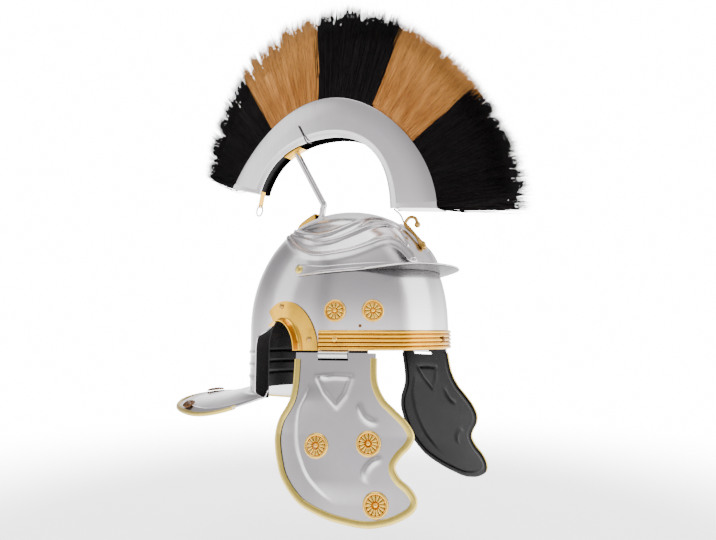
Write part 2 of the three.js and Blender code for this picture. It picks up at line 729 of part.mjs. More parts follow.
// Crescent plate round the ear arch with a lip flared outwards, on the wearer's right
function earGuard() {
  const section = [[0, 0], [0, 1], [1, 1], [2, 1], [2, 0], [1, 0]];
  const outline = section.map(([across, face]) => new THREE.Vector2(across, face));
  const stations = span(0, 0.66, 11);
  return sweep(outline, stations, ({ x: across, y: face }, share) => {
    const turn = Math.PI * (1 - share);
    const width = mix(EAR_GUARD_WIDTH, EAR_GUARD_REAR_WIDTH, share ** 2);
    const grown = across === 0 ? width : 0;
    const shrunk = across === 2 ? EAR_LIP * 0.45 : 0;
    const y = EAR_CENTRE + (EAR_HALF + grown - shrunk - 0.8) * Math.cos(turn);
    const height = -RIM_DROP + (EAR_TOP + RIM_DROP + grown - shrunk - 0.8) * Math.sin(turn);
    const lift = across === 2 ? EAR_LIP : 0;
    return bowlPoint(-aroundAt(y, height), height, SEAT + FACET + face * BRASS + lift);
  });
}

function discOn(point, normal) {
  const turn = new THREE.Quaternion().setFromUnitVectors(new V3(0, 0, 1), normal.clone().normalize());
  return new THREE.Matrix4().compose(point, turn, new V3(1, 1, 1));
}

// A flat-backed brass rosette about +Z: petals between a domed centre and a rim
function rosette(radius) {
  const rings = [
    { out: 0.3, rise: 0.62, sides: PETALS, petal: 0 },
    { out: 0.76, rise: 0.68, sides: PETALS * 2, petal: 0.32 },
    { out: 1, rise: 0.5, sides: PETALS, petal: 0 },
    { out: 1, rise: 0, sides: PETALS, petal: 0 },
  ];
  const points = [new V3(0, 0, ROSETTE_RISE * 1.1), new V3(0, 0, 0)];
  const firsts = rings.map(({ out, rise, sides, petal }) => {
    const first = points.length;
    for (let k = 0; k < sides; k++) {
      const turn = (k / sides) * Math.PI * 2;
      const height = ROSETTE_RISE * (rise + (k % 2 ? petal : -petal) * Math.sign(petal));
      points.push(new V3(Math.cos(turn) * radius * out, Math.sin(turn) * radius * out, height));
    }
    return first;
  });
  const at = (ring, k) => firsts[ring] + (k % rings[ring].sides);
  const triangles = [];
  for (let k = 0; k < PETALS; k++) {
    triangles.push([0, at(0, k), at(0, k + 1)], [1, at(3, k + 1), at(3, k)]);
    triangles.push([at(0, k), at(1, 2 * k), at(1, 2 * k + 1)], [at(0, k), at(1, 2 * k + 1), at(0, k + 1)]);
    triangles.push([at(0, k + 1), at(1, 2 * k + 1), at(1, 2 * k + 2)]);
    triangles.push([at(1, 2 * k), at(2, k), at(1, 2 * k + 1)], [at(1, 2 * k + 1), at(2, k), at(2, k + 1)]);
    triangles.push([at(1, 2 * k + 1), at(2, k + 1), at(1, 2 * k + 2)]);
    triangles.push([at(2, k), at(3, k), at(3, k + 1)], [at(2, k), at(3, k + 1), at(2, k + 1)]);
  }
  return meshGeometry(points, triangles);
}

function rivet(radius = RIVET_RADIUS) {
  const profile = [[0, 0], [1, 0], [0.65, 0.5], [0, 0.66]];
  const geometry = new THREE.LatheGeometry(profile.map(([r, z]) => new THREE.Vector2(r * radius, z * radius)), 6);
  geometry.rotateX(Math.PI / 2);
  return geometry;
}

// Cheek piece, built about its hinge axis for the wearer's right side: X to the front, Y up, Z out

// Height of the inner face, dished in both ways away from the middle
function cheekFace(x, y) {
  const middle = (x / CHEEK_WIDTH - 0.18) / 0.5;
  const down = (HINGE_BAR / 2 - y) / CHEEK_LENGTH;
  return -CHEEK_DISH * middle * middle * clamp(down * 2, 0, 1) - CHEEK_STEEL / 2;
}

function cheekCorner(along, down) {
  const x = along * CHEEK_WIDTH;
  const y = HINGE_BAR / 2 - down * CHEEK_LENGTH;
  return new V3(x, y, cheekFace(x, y));
}

// A disc's place on the outer face, turned square to it
function onCheek({ along, down }, lift) {
  const centre = cheekCorner(along, down);
  const slope = (dx, dy) => (cheekFace(centre.x + dx, centre.y + dy) - cheekFace(centre.x - dx, centre.y - dy)) / 2;
  const normal = new V3(-slope(1, 0), -slope(0, 1), 1).normalize();
  return discOn(centre.addScaledVector(normal, CHEEK_STEEL + lift), normal);
}

function cheekPlate() {
  const downs = CHEEK_SECTIONS.map(({ down }) => down);
  const columns = [0, 0.1, 0.2, 0.25, 0.6, 1];
  return plate(columns, downs, (column, down, side) => {
    const rear = readTable(CHEEK_SECTIONS, 'down', 'rear', down);
    const front = readTable(CHEEK_SECTIONS, 'down', 'front', down);
    const crease = clamp(readTable(CHEEK_CREASE, 'down', 'along', down), rear + 0.03, front - 0.04);
    const along = column <= 0.2 ? mix(rear, crease, column / 0.2) : mix(crease, front, (column - 0.2) / 0.8);
    const room = Math.min((crease - rear) * CHEEK_WIDTH, (1 - down) * CHEEK_LENGTH, down * CHEEK_LENGTH);
    const rise = column === 0.2 ? CHEEK_CREASE_RISE * clamp((room - BINDING) / CHEEK_CREASE_FADE, 0, 1) : 0;
    const corner = cheekCorner(along, down);
    corner.z += side * CHEEK_STEEL + rise;
    return corner;
  });
}

// A low raised bar along a line of the cheek
function embossedBar(points) {
  const outline = [
    new THREE.Vector2(-EMBOSS_HALF, -SUNK), new THREE.Vector2(EMBOSS_HALF, -SUNK),
    new THREE.Vector2(EMBOSS_HALF * 0.4, EMBOSS_RISE), new THREE.Vector2(-EMBOSS_HALF * 0.4, EMBOSS_RISE),
  ];
  const places = points.map(({ along, down }) => cheekCorner(along, down));
  return sweep(outline, places.map((_, k) => k), ({ x: across, y: up }, k) => {
    const before = places[Math.max(k - 1, 0)];
    const after = places[Math.min(k + 1, places.length - 1)];
    const forward = new V3().subVectors(after, before).setZ(0).normalize();
    const end = k === 0 ? -1 : k === places.length - 1 ? 1 : 0;
    return places[k].clone()
      .addScaledVector(forward, end * EMBOSS_HALF * 0.5)
      .add(new V3(-forward.y * across, forward.x * across, CHEEK_STEEL + up));
  });
}

function hingeSlot() {
  const box = new THREE.BoxGeometry(HINGE_WIDTH + 2 * HINGE_SIDE_PLAY, HINGE_SLOT, CHEEK_DISH * 4);
  box.translate(HINGE_ALONG, -(HINGE_BAR + HINGE_SLOT) / 2, 0);
  return box;
}

function cheekPiece() {
  const corners = CHEEK_TRIANGLE;
  const sides = corners.map((corner, k) => embossedBar([corner, corners[(k + 1) % corners.length]]));
  const ridges = CHEEK_SHORT_RIDGES.map(embossedBar);
  return cut(join(cheekPlate(), ...sides, ...ridges), hingeSlot());
}

// The cheek's edge from the front top corner round the chin to the rear top corner
function cheekEdge() {
  const skip = 0.03;
  const below = CHEEK_SECTIONS.filter(({ down }) => down > skip);
  const front = below.map(({ down, front: along }) => ({ along, down }));
  const rear = below.map(({ down, rear: along }) => ({ along, down }));
  const top = readTable(CHEEK_SECTIONS, 'down', 'front', skip);
  const topRear = readTable(CHEEK_SECTIONS, 'down', 'rear', skip);
  return [{ along: top, down: skip }, ...front, ...rear.reverse(), { along: topRear, down: skip }];
}

// Brass binding folded over the cheek's edge
function cheekBinding() {
  const [low, high] = [-SEAT - FACET / 2, CHEEK_STEEL + SEAT + FACET / 2];
  const section = [
    [BINDING, high], [BINDING, high + BRASS], [-SEAT - BRASS, high + BRASS], [-SEAT - BRASS, low - BRASS],
    [BINDING, low - BRASS], [BINDING, low], [-SEAT, low], [-SEAT, high],
  ];
  const outline = section.map(([inwards, up]) => new THREE.Vector2(inwards, up));
  const edge = cheekEdge();
  const places = edge.map(({ along, down }) => cheekCorner(along, down));
  return sweep(outline, places.map((_, k) => k), ({ x: inwards, y: up }, k) => {
    const before = places[Math.max(k - 1, 0)];
    const after = places[Math.min(k + 1, places.length - 1)];
    const one = places[k].clone().sub(before).setZ(0);
    const two = after.clone().sub(places[k]).setZ(0);
    const forward = one.normalize().add(two.normalize()).normalize();
    const x = places[k].x + forward.y * inwards;
    const y = places[k].y - forward.x * inwards;
    return new V3(x, y, cheekFace(x, y) + up);
  });
}

// How far inside the cheek's plane the bowl's inner wall lies, at most, over the hinge's width
function wallInset() {
  const splay = degrees(CHEEK_SPLAY);
  const along = new V3(-Math.sin(splay), -Math.cos(splay), 0);
  const out = new V3(Math.cos(splay), -Math.sin(splay), 0);
  const start = new V3(CHEEK_OFFSET, CHEEK_SETBACK, 0);
  const wall = span(0, 120, 240).map((around) => bowlPoint(around, 0, -STEEL).sub(start));
  const near = wall.filter((point) => Math.abs(point.dot(along) - HINGE_ALONG) <= HINGE_WIDTH / 2 + 1);
  return Math.max(...near.map((point) => -point.dot(out)));
}

// Hinge strap: a leaf inside the bowl's wall, bent out under the rim into a loop round the cheek's top bar
function hingeStrap() {
  const bend = span(150, -180, 11);
  const arc = (radius) => bend.map((turn) => [Math.cos(degrees(turn)) * radius, Math.sin(degrees(turn)) * radius]);
  const face = -wallInset() - SEAT - FACET;
  const section = [
    ...arc(HINGE_LOOP),
    [face - HINGE_STRAP, HINGE_LOOP], [face - HINGE_STRAP, HINGE_LOOP + HINGE_LEAF],
    [face, HINGE_LOOP + HINGE_LEAF], [face, HINGE_LOOP],
    ...arc(HINGE_BORE).reverse(),
  ];
  const outline = section.map(([out, up]) => new THREE.Vector2(out, up));
  const ends = [HINGE_ALONG - HINGE_WIDTH / 2, HINGE_ALONG + HINGE_WIDTH / 2];
  return sweep(outline, ends, ({ x: out, y: up }, along) => new V3(along, up, out));
}

// Crest

// across runs from 0 at the inner edge to 1 at the outer one, or is millimetres inside it when negative
function crestPoint(angle, across) {
  const turn = degrees(angle);
  const bulge = CREST_SHOULDER * Math.cos(4 * (turn - Math.PI / 2));
  const inner = new V3(0, CREST_CENTRE + (CREST_INNER_RADIUS - bulge) * Math.cos(turn),
    CROWN_HEIGHT - CREST_INNER_DROP + (CREST_INNER_RADIUS - bulge) * Math.sin(turn));
  const outer = new V3(0, CREST_CENTRE + (CREST_OUTER_RADIUS + bulge) * Math.cos(turn),
    CROWN_HEIGHT - CREST_OUTER_DROP + (CREST_OUTER_RADIUS + bulge) * Math.sin(turn));
  return inner.addScaledVector(outer.clone().sub(inner).normalize(), across < 0 ? across : 0)
    .lerp(outer, across > 0 ? across : 0);
}

function crestWidth(angle) {
  return crestPoint(angle, 0).distanceTo(crestPoint(angle, 1));
}

// A section corner: depth from the inner edge in millimetres, or OUTER for the outer edge, and side
const OUTER = 1000;

function crestCorner({ x: depth, y: x }, angle) {
  const share = depth === OUTER ? 1 : depth / crestWidth(angle);
  return crestPoint(angle, share).setX(x);
}

function crestBox() {
  const half = CREST_THICKNESS / 2;
  const lip = half - CREST_BEVEL;
  const side = [
    [0, lip], [CREST_BORDER, half], [OUTER, half], [OUTER, half - CREST_SHEET],
    [CREST_FLOOR + CREST_SHEET, half - CREST_SHEET],
  ];
  const other = side.map(([depth, x]) => [depth, -x]).reverse();
  const under = [
    [0, -lip + CREST_SHEET], [CREST_FLOOR, -lip + CREST_SHEET - CREST_BEVEL / 2],
    [CREST_FLOOR, lip - CREST_SHEET + CREST_BEVEL / 2], [0, lip - CREST_SHEET],
  ];
  const outline = [...side, ...other, ...under].map(([depth, x]) => new THREE.Vector2(depth, x));
  const flat = [[CREST_FLOOR, -half + CREST_SHEET / 2], [OUTER, -half + CREST_SHEET / 2],
    [OUTER, half - CREST_SHEET / 2], [CREST_FLOOR, half - CREST_SHEET / 2]];
  const cap = flat.map(([depth, x]) => new THREE.Vector2(depth, x));
  const sheetAngle = THREE.MathUtils.radToDeg(CREST_SHEET / CREST_OUTER_RADIUS);
  const stations = span(CREST_REAR_ANGLE, CREST_FRONT_ANGLE, 19);
  return join(
    sweep(outline, stations, crestCorner),
    sweep(cap, [CREST_REAR_ANGLE, CREST_REAR_ANGLE + sheetAngle], crestCorner),
    sweep(cap, [CREST_FRONT_ANGLE - sheetAngle, CREST_FRONT_ANGLE], crestCorner),
  );
}

function hairTip(angle, side) {
  const reach = readTable(HAIR_TIPS, 'angle', 'reach', angle) * HAIR_REACH;
  const lean = readTable(HAIR_TIPS, 'angle', 'lean', angle);
  const turn = degrees(angle + lean);
  const root = crestPoint(angle, 1);
  return root.add(new V3(side, reach * Math.cos(turn), reach * Math.sin(turn)));
}

// A band of the plume: locks fused to a backing strip inside the box
function plumeBand(from, to, seed) {
  const sheetAngle = THREE.MathUtils.radToDeg((CREST_SHEET + SEAT) / CREST_INNER_RADIUS);
  const gap = THREE.MathUtils.radToDeg(SEAT / CREST_OUTER_RADIUS) / 2;
  const start = from + (from === CREST_REAR_ANGLE ? sheetAngle : gap);
  const end = to - (to === CREST_FRONT_ANGLE ? sheetAngle : gap);
  const half = CREST_THICKNESS / 2 - CREST_SHEET - SEAT;
  const floor = CREST_FLOOR + CREST_SHEET + SEAT;
  const strip = [[floor, -half], [OUTER, -half], [OUTER, half], [floor, half]];
  const backing = sweep(strip.map(([d, x]) => new THREE.Vector2(d, x)), span(start, end, 5), crestCorner);
  const locks = [];
  const step = (end - start) / LOCKS_PER_BAND;
  for (let k = 0; k < LOCKS_PER_BAND; k++) {
    const middle = start + step * (k + 0.5);
    const uneven = ((k * 7 + seed * 3) % 5) / 4;
    const swell = mix(0.9, 1.1, ((k * 3 + seed) % 4) / 3);
    const ring = [[-1, -0.55], [0, -1], [1, -0.55], [1, 0.55], [0, 1], [-1, 0.55]];
    const outline = ring.map(([a, x]) => new THREE.Vector2(a, x));
    const levels = [
      { up: 0, half: 0.53, wide: 0.95 }, { up: 0.82, half: 0.53, wide: 0.95 * swell },
      { up: mix(0.95, 1, uneven), half: 0.2, wide: 0.5 },
    ];
    locks.push(sweep(outline, levels, ({ x: a, y: x }, { up, half: part, wide }) => {
      const angle = clamp(middle + a * step * part, start, end);
      const across = mix(HAIR_BASE_HALF, HAIR_TIP_HALF, up) * wide * x;
      if (up === 0) return crestPoint(angle, 1 - LOCK_ROOT / crestWidth(angle)).setX(across);
      return crestPoint(angle, 1).lerp(hairTip(angle, 0), up).setX(across);
    }));
  }
  return join(backing, ...locks);
}

// Crest rod, bracket, keeper, hook, tab, ring and wires, all in the plane of the crest

function rodTop() {
  return crestPoint(ROD_TOP_ANGLE, 0);
}

// A point of the crown line over the middle of the bowl, at a distance along and off its surface
function crownPoint(y, out = 0) {
  const around = y > 0 ? 180 : 0;
  const power = roundness(around);
  const height = CROWN_HEIGHT * (1 - Math.abs(y / BOWL_HALF_LENGTH) ** power) ** (1 / power);
  return bowlPoint(around, height, out);
}

function crestRod() {
  const top = rodTop();
  const knee = new V3(0, ROD_KNEE_BACK, CROWN_HEIGHT + ROD_KNEE_RISE);
  const off = ROD_RADIUS + SEAT + FACET;
  const lower = crownPoint(ROD_KNEE_BACK + 1, off + ROD_RADIUS);
  const down = knee.clone().sub(top).normalize();
  const start = top.clone().addScaledVector(down, BRACKET_SHEET + SEAT * 2 + ROD_RADIUS * 0.3);
  const foot = [crownPoint(KEEPER_FRONT, off), crownPoint(ROD_FOOT_END, off)];
  return tube([start, start.clone().lerp(knee, 0.5), knee, lower, ...foot], ROD_RADIUS, 7, 13);
}

function crestBracket() {
  const half = BRACKET_WIDTH / 2;
  const section = [[-half, 0], [half, 0], [half, 1], [-half, 1]].map(([x, up]) => new THREE.Vector2(x, up));
  const angles = span(ROD_TOP_ANGLE - BRACKET_REAR, ROD_TOP_ANGLE + BRACKET_FRONT, 4);
  return sweep(section, angles, ({ x, y: up }, angle) => {
    const edge = crestPoint(angle, 0);
    const inwards = edge.clone().sub(crestPoint(angle, 0.1)).normalize();
    return edge.addScaledVector(inwards, SEAT + up * BRACKET_SHEET).setX(x);
  });
}

// Keeper: a strap bridge with side walls, open to the front for the rod's foot
function keeper() {
  const half = KEEPER_WIDTH / 2;
  const rows = [
    { y: KEEPER_FOOT + KEEPER_FOOT_LENGTH, rise: 0 }, { y: KEEPER_FOOT, rise: 0 },
    { y: KEEPER_BACK, rise: KEEPER_RISE_BACK }, { y: KEEPER_FRONT, rise: KEEPER_RISE_FRONT },
  ];
  const off = SEAT + FACET;
  const across = [[-half, 0], [half, 0], [half, 1], [-half, 1]].map(([x, up]) => new THREE.Vector2(x, up));
  const strap = sweep(across, rows, ({ x, y: up }, { y, rise }) => (
    crownPoint(y, off).add(new V3(x, 0, rise + up * KEEPER_SHEET))));
  const square = [[0, 0], [1, 0], [1, 1], [0, 1]].map(([a, b]) => new THREE.Vector2(a, b));
  const wall = (x) => sweep(square, rows.slice(1), ({ x: side, y: up }, { y, rise }) => (
    crownPoint(y, off).add(new V3(x + side * BRASS, 0, up * (rise + KEEPER_SHEET / 2)))));
  return join(strap, wall(-half), wall(half - BRASS));
}

// Height of the hook's rivet: a fixed drop below the crest's front end, which is tied to the hook
function hookHeight() {
  return crestPoint(CREST_FRONT_ANGLE, 0).z - HOOK_DROP;
}

// Where the hook leaves the bowl's surface
function hookTop() {
  return bowlPoint(0, hookHeight() + HOOK_STEM, SEAT + FACET + HOOK_RADIUS + SEAT * 3);
}

function frontHook() {
  const off = SEAT + FACET + HOOK_RADIUS;
  const top = hookTop();
  const curl = HOOK_CURL.map(({ forward, up }) => (
    top.clone().add(new V3(0, -forward * HOOK_REACH, up * HOOK_RISE))));
  const foot = [
    bowlPoint(0, hookHeight() - HOOK_FOOT, off), bowlPoint(0, hookHeight() + HOOK_STEM * 0.45, off + SEAT), top,
  ];
  const ball = new THREE.SphereGeometry(HOOK_BALL, 7, 5);
  const end = curl[curl.length - 1];
  ball.translate(0, end.y, end.z - HOOK_BALL / 4);
  return join(tube([...foot, ...curl], HOOK_RADIUS, 6, 12), ball);
}

function rearTab() {
  const box = new THREE.BoxGeometry(TAB_WIDTH, BRASS, TAB_LENGTH);
  box.translate(0, 0, -TAB_LENGTH / 2);
  const hole = new THREE.BoxGeometry(TAB_HOLE, BRASS * 3, TAB_HOLE);
  hole.translate(0, 0, TAB_HOLE * 1.1 - TAB_LENGTH);
  return cut(box, hole);
}

// Oval wire ring that hangs through the tab's hole, in the plane of the crest
function rearRing() {
  const section = turns(5).map((turn) => (
    new THREE.Vector2(Math.cos(turn) * RING_WIRE, Math.sin(turn) * RING_WIRE)));
  return sweep(section, turns(12), ({ x: out, y: x }, turn) => {
    const cosine = Math.cos(turn);
    const sine = Math.sin(turn);
    return new V3(x, cosine * (RING_HALF_WIDTH + out), sine * (RING_HALF_HEIGHT + out));
  }, true);
}

// Wire that ties the crest's front end down to the hook
function frontTieWire() {
  const hook = hookTop();
  const start = crestPoint(CREST_FRONT_ANGLE - 1, 0).add(new V3(0, 0, -SEAT - TIE_WIRE));
  const end = hook.clone().add(new V3(0, HOOK_RADIUS - SEAT + TIE_WIRE, HOOK_RISE * 0.4));
  const middle = start.clone().lerp(end, 0.5).add(new V3(0, -2 * TIE_WIRE, TIE_WIRE));
  return tube([start, middle, end], TIE_WIRE, 5, 4);
}

// Wire drawn from a hole in the crest's side over its inner edge
function sideTieWire() {
  const side = -(CREST_THICKNESS / 2 + SEAT + TIE_WIRE);
  const hole = crestPoint(TIE_HOLE_ANGLE, 0.5).setX(side);
  const edge = crestPoint(mix(TIE_HOLE_ANGLE, TIE_END_ANGLE, 0.6), -SEAT - TIE_WIRE).setX(side);
  const end = crestPoint(TIE_END_ANGLE, -SEAT - TIE_WIRE * 2).setX(side + CREST_BEVEL * 2);
  return tube([hole, hole.clone().lerp(edge, 0.6), edge, end], TIE_WIRE, 5, 6);
}

const PART = new THREE.Group();
PART.position.z = -(CROWN_HEIGHT - STEEL);

function add(name, geometry, look, parent = PART, colour = null) {
  const settings = { ...MATERIALS[look] };
  if (colour !== null) settings.color = colour;
  const mesh = new THREE.Mesh(geometry, new THREE.MeshStandardMaterial(settings));
  mesh.name = name;
  parent.add(mesh);
  return mesh;
}

// Sets a disc or rivet on the bowl, lifted off its surface
function addOnBowl(name, geometry, look, around, height, lift) {
  const mesh = add(name, geometry, look);
  mesh.applyMatrix4(discOn(bowlPoint(around, height, lift), bowlNormal(around, height)));
}

add('steel_bowl', steelBowl(), 'steel');
add('neck_guard_trim', guardTrim(), 'brass');
for (const { name, turn } of LEAF_TURNS) {
  add(`neck_guard_leaf_${name}`, leafOrnament(), 'darkBrass').applyMatrix4(onGuard(turn));
}
add('brow_peak', browPeak(), 'steel');
add('brow_band', browBand(), 'brass');
const overBand = 2 * SEAT + FACET + BRASS + BAND_RIB_RISE;
for (const { name, around } of BAND_RIVETS) {
  addOnBowl(`band_rivet_${name}`, rivet(), 'brass', around, BAND_RIVET_HEIGHT, overBand);
}

for (const [side, sign] of [['right', -1], ['left', 1]]) {
  const handed = (geometry) => (sign < 0 ? geometry : mirrored(geometry));
  add(`ear_guard_${side}`, handed(earGuard()), 'brass');
  for (const { name, forward, height } of GUARD_RIVETS) {
    const around = sign * aroundAt(forward, height);
    addOnBowl(`ear_guard_rivet_${side}_${name}`, rivet(), 'brass', around, height, 2 * SEAT + FACET + BRASS);
  }
  for (const { name, around } of BOWL_ROSETTES) {
    addOnBowl(`bowl_rosette_${side}_${name}`, rosette(BOWL_ROSETTE_RADIUS), 'brass',
      sign * around, BOWL_ROSETTE_HEIGHT, SEAT);
  }
  addOnBowl(`bowl_nail_${side}`, rivet(NAIL_RADIUS), 'darkBrass', sign * NAIL.around, NAIL.height, SEAT);
  addOnBowl(`peak_rivet_${side}`, rivet(PEAK_RIVET_RADIUS), 'brass', sign * PEAK_RIVET_ANGLE,
    peakBase(PEAK_RIVET_ANGLE) + PEAK_LUG / 2, 2 * SEAT + FACET + STEEL);

  const hinge = new THREE.Group();
  hinge.position.set(sign * CHEEK_OFFSET, CHEEK_SETBACK, -RIM_DROP - SEAT - HINGE_LOOP);
  const splay = degrees(CHEEK_SPLAY);
  const forward = new V3(Math.sin(splay), sign * Math.cos(splay), 0);
  const out = new V3(sign * Math.cos(splay), -Math.sin(splay), 0);
  hinge.setRotationFromMatrix(new THREE.Matrix4().makeBasis(forward, new V3(0, 0, 1), out));
  const cheek = new THREE.Group();
  cheek.rotation.x = -degrees(CHEEK_FLARE);
  hinge.add(cheek);
  PART.add(hinge);
  add(`hinge_strap_${side}`, handed(hingeStrap()), 'steel', hinge);
  add(`cheek_piece_${side}`, handed(cheekPiece()), 'steel', cheek);
  add(`cheek_binding_${side}`, handed(cheekBinding()), 'paleBrass', cheek);
  for (const { name, along, down } of CHEEK_ROSETTES) {
    const disc = rosette(CHEEK_ROSETTE_RADIUS).applyMatrix4(onCheek({ along, down }, SEAT + FACET));
    add(`cheek_rosette_${side}_${name}`, handed(disc), 'brass', cheek);
  }
}

add('crest_box', crestBox(), 'steel');
let bandStart = CREST_REAR_ANGLE;
PLUME_BANDS.forEach(({ name, upTo, colour }, k) => {
  add(name, plumeBand(bandStart, upTo, k), 'hair', PART, colour);
  bandStart = upTo;
});
add('crest_rod', crestRod(), 'steel');
add('crest_bracket', crestBracket(), 'brass');
add('crest_keeper', keeper(), 'brass');
add('front_hook', frontHook(), 'brass');
addOnBowl('front_hook_rivet', rivet(), 'brass', 0, hookHeight(), 2 * SEAT + FACET + HOOK_RADIUS * 2);
add('front_tie_wire', frontTieWire(), 'blackWire');
add('side_tie_wire', sideTieWire(), 'blackWire');

const tab = new THREE.Group();
const tabDepth = CREST_FLOOR - SEAT - FACET / 2 - BRASS / 2;
const tabTop = crestPoint(CREST_REAR_ANGLE + 2, tabDepth / crestWidth(CREST_REAR_ANGLE + 2));
tab.position.set(0, tabTop.y, tabTop.z);
tab.rotation.x = degrees(TAB_TILT);
PART.add(tab);
add('rear_tab', rearTab(), 'brass', tab);
const ring = add('rear_ring', rearRing(), 'blackWire', tab);
ring.position.z = TAB_HOLE * 1.1 - TAB_LENGTH + RING_WIRE / 3 - RING_HALF_HEIGHT;

export default PART;
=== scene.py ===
"""A legionary helmet in polished steel, with brass fittings and a banded horsehair crest."""
import math

import bmesh
import bpy
import numpy as np
from bpy.props import FloatProperty, FloatVectorProperty, IntProperty, PointerProperty
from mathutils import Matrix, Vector


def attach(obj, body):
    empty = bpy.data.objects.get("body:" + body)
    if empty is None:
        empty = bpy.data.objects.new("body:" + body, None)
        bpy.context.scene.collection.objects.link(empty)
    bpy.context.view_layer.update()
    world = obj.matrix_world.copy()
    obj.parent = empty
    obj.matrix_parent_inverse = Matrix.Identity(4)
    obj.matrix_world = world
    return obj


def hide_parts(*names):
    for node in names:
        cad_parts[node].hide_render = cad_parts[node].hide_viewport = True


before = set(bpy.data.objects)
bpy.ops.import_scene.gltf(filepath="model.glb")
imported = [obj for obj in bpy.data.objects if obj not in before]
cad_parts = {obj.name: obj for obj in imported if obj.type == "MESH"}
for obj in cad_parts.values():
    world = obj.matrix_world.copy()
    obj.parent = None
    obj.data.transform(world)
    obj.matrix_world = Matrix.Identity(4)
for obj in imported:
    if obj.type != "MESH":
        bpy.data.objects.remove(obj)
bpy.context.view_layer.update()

bl_info = {
    "name": "Legionary helmet",
    "version": (1, 0, 0),
    "blender": (4, 5, 0),
    "location": "View3D > Sidebar > Helmet",
    "description": "Dresses the helmet's frame with steel, brass and horsehair",
    "category": "Add Mesh",
}

SIDES = (("right", 1), ("left", -1))

# Clearances between pieces, as in the solids
SEAT = 0.0003
FACET = 0.00035

# Crest lines of the embossed eyebrows, as angles from the front and shares of the crown's height
BROW_LOW = [
    {"around": 16.6, "height": 0.533}, {"around": 18.6, "height": 0.583}, {"around": 22.7, "height": 0.646},
    {"around": 29.1, "height": 0.682}, {"around": 38.1, "height": 0.669}, {"around": 47.7, "height": 0.626},
    {"around": 57, "height": 0.587}, {"around": 66.7, "height": 0.563}, {"around": 76.5, "height": 0.552},
    {"around": 84.2, "height": 0.567}, {"around": 94.3, "height": 0.617},
    {"around": 107.5, "height": 0.701}, {"around": 118, "height": 0.755},
]
BROW_MIDDLE = [
    {"around": 16.6, "height": 0.66}, {"around": 18.2, "height": 0.777}, {"around": 22.6, "height": 0.821},
    {"around": 34.7, "height": 0.816}, {"around": 45.8, "height": 0.787}, {"around": 56.6, "height": 0.736},
    {"around": 65.5, "height": 0.695}, {"around": 74.2, "height": 0.672}, {"around": 83.6, "height": 0.675},
    {"around": 97, "height": 0.721}, {"around": 119, "height": 0.785},
]
BROW_TOP = [
    {"around": 11.4, "height": 0.799}, {"around": 14.5, "height": 0.849}, {"around": 22.1, "height": 0.883},
    {"around": 38.2, "height": 0.879}, {"around": 53, "height": 0.833}, {"around": 63.9, "height": 0.781},
    {"around": 73.3, "height": 0.742}, {"around": 83, "height": 0.728}, {"around": 95.6, "height": 0.748},
    {"around": 119.8, "height": 0.818},
]
HOLLOW_TOP = [
    {"around": 40, "height": 0.868}, {"around": 58.7, "height": 0.872}, {"around": 72, "height": 0.877},
    {"around": 93, "height": 0.866}, {"around": 107.6, "height": 0.848}, {"around": 124, "height": 0.836},
]

# Cheek piece's outline, as shares of its width to the front and of its length down from the hinge
CHEEK_SECTIONS = [
    {"down": 0, "rear": -0.183, "front": 0.411}, {"down": 0.175, "rear": -0.183, "front": 0.42},
    {"down": 0.28, "rear": -0.197, "front": 0.473}, {"down": 0.342, "rear": -0.227, "front": 0.545},
    {"down": 0.415, "rear": -0.275, "front": 0.632}, {"down": 0.488, "rear": -0.296, "front": 0.679},
    {"down": 0.55, "rear": -0.297, "front": 0.655}, {"down": 0.613, "rear": -0.284, "front": 0.591},
    {"down": 0.675, "rear": -0.265, "front": 0.557}, {"down": 0.738, "rear": -0.24, "front": 0.593},
    {"down": 0.79, "rear": -0.204, "front": 0.665}, {"down": 0.853, "rear": -0.143, "front": 0.706},
    {"down": 0.915, "rear": -0.051, "front": 0.675}, {"down": 0.972, "rear": 0.123, "front": 0.561},
    {"down": 1, "rear": 0.3, "front": 0.44},
]
CHEEK_CREASE = [
    {"along": -0.075, "down": 0.25}, {"along": -0.085, "down": 0.28}, {"along": -0.125, "down": 0.363},
    {"along": -0.132, "down": 0.47}, {"along": -0.118, "down": 0.571}, {"along": -0.08, "down": 0.66},
    {"along": -0.03, "down": 0.738}, {"along": 0.05, "down": 0.81}, {"along": 0.13, "down": 0.863},
    {"along": 0.2, "down": 0.9},
]
CHEEK_TRIANGLE = [
    {"along": -0.008, "down": 0.16}, {"along": 0.118, "down": 0.148}, {"along": 0.244, "down": 0.152},
    {"along": 0.205, "down": 0.26}, {"along": 0.142, "down": 0.332}, {"along": 0.05, "down": 0.25},
]
CHEEK_DIMPLES = [
    [{"along": 0.322, "down": 0.27}, {"along": 0.312, "down": 0.33}, {"along": 0.342, "down": 0.388},
     {"along": 0.4, "down": 0.42}, {"along": 0.46, "down": 0.42}],
    [{"along": 0.49, "down": 0.615}, {"along": 0.42, "down": 0.645}, {"along": 0.375, "down": 0.69},
     {"along": 0.362, "down": 0.735}, {"along": 0.375, "down": 0.775}],
]
CHEEK_ROSETTES = [
    {"name": "rear", "along": 0.013, "down": 0.568},
    {"name": "front", "along": 0.379, "down": 0.544},
    {"name": "chin", "along": 0.441, "down": 0.885},
]

BOWL_ROSETTES = [{"name": "rear", "around": 66}, {"name": "front", "around": 47}]
BOWL_NAIL = {"around": 53.5, "height": 0.0038}
BAND_RIVETS = [
    {"name": "right", "around": -65.9}, {"name": "front", "around": 0}, {"name": "left", "around": 65.9},
]
GUARD_RIVETS = [{"name": "top", "forward": 0.0118, "height": 0.0223},
                {"name": "foot", "forward": -0.0208, "height": -0.0082}]
LEAVES = [{"name": "right", "turn": 0.25}, {"name": "rear", "turn": 0.5}, {"name": "left", "turn": 0.72}]

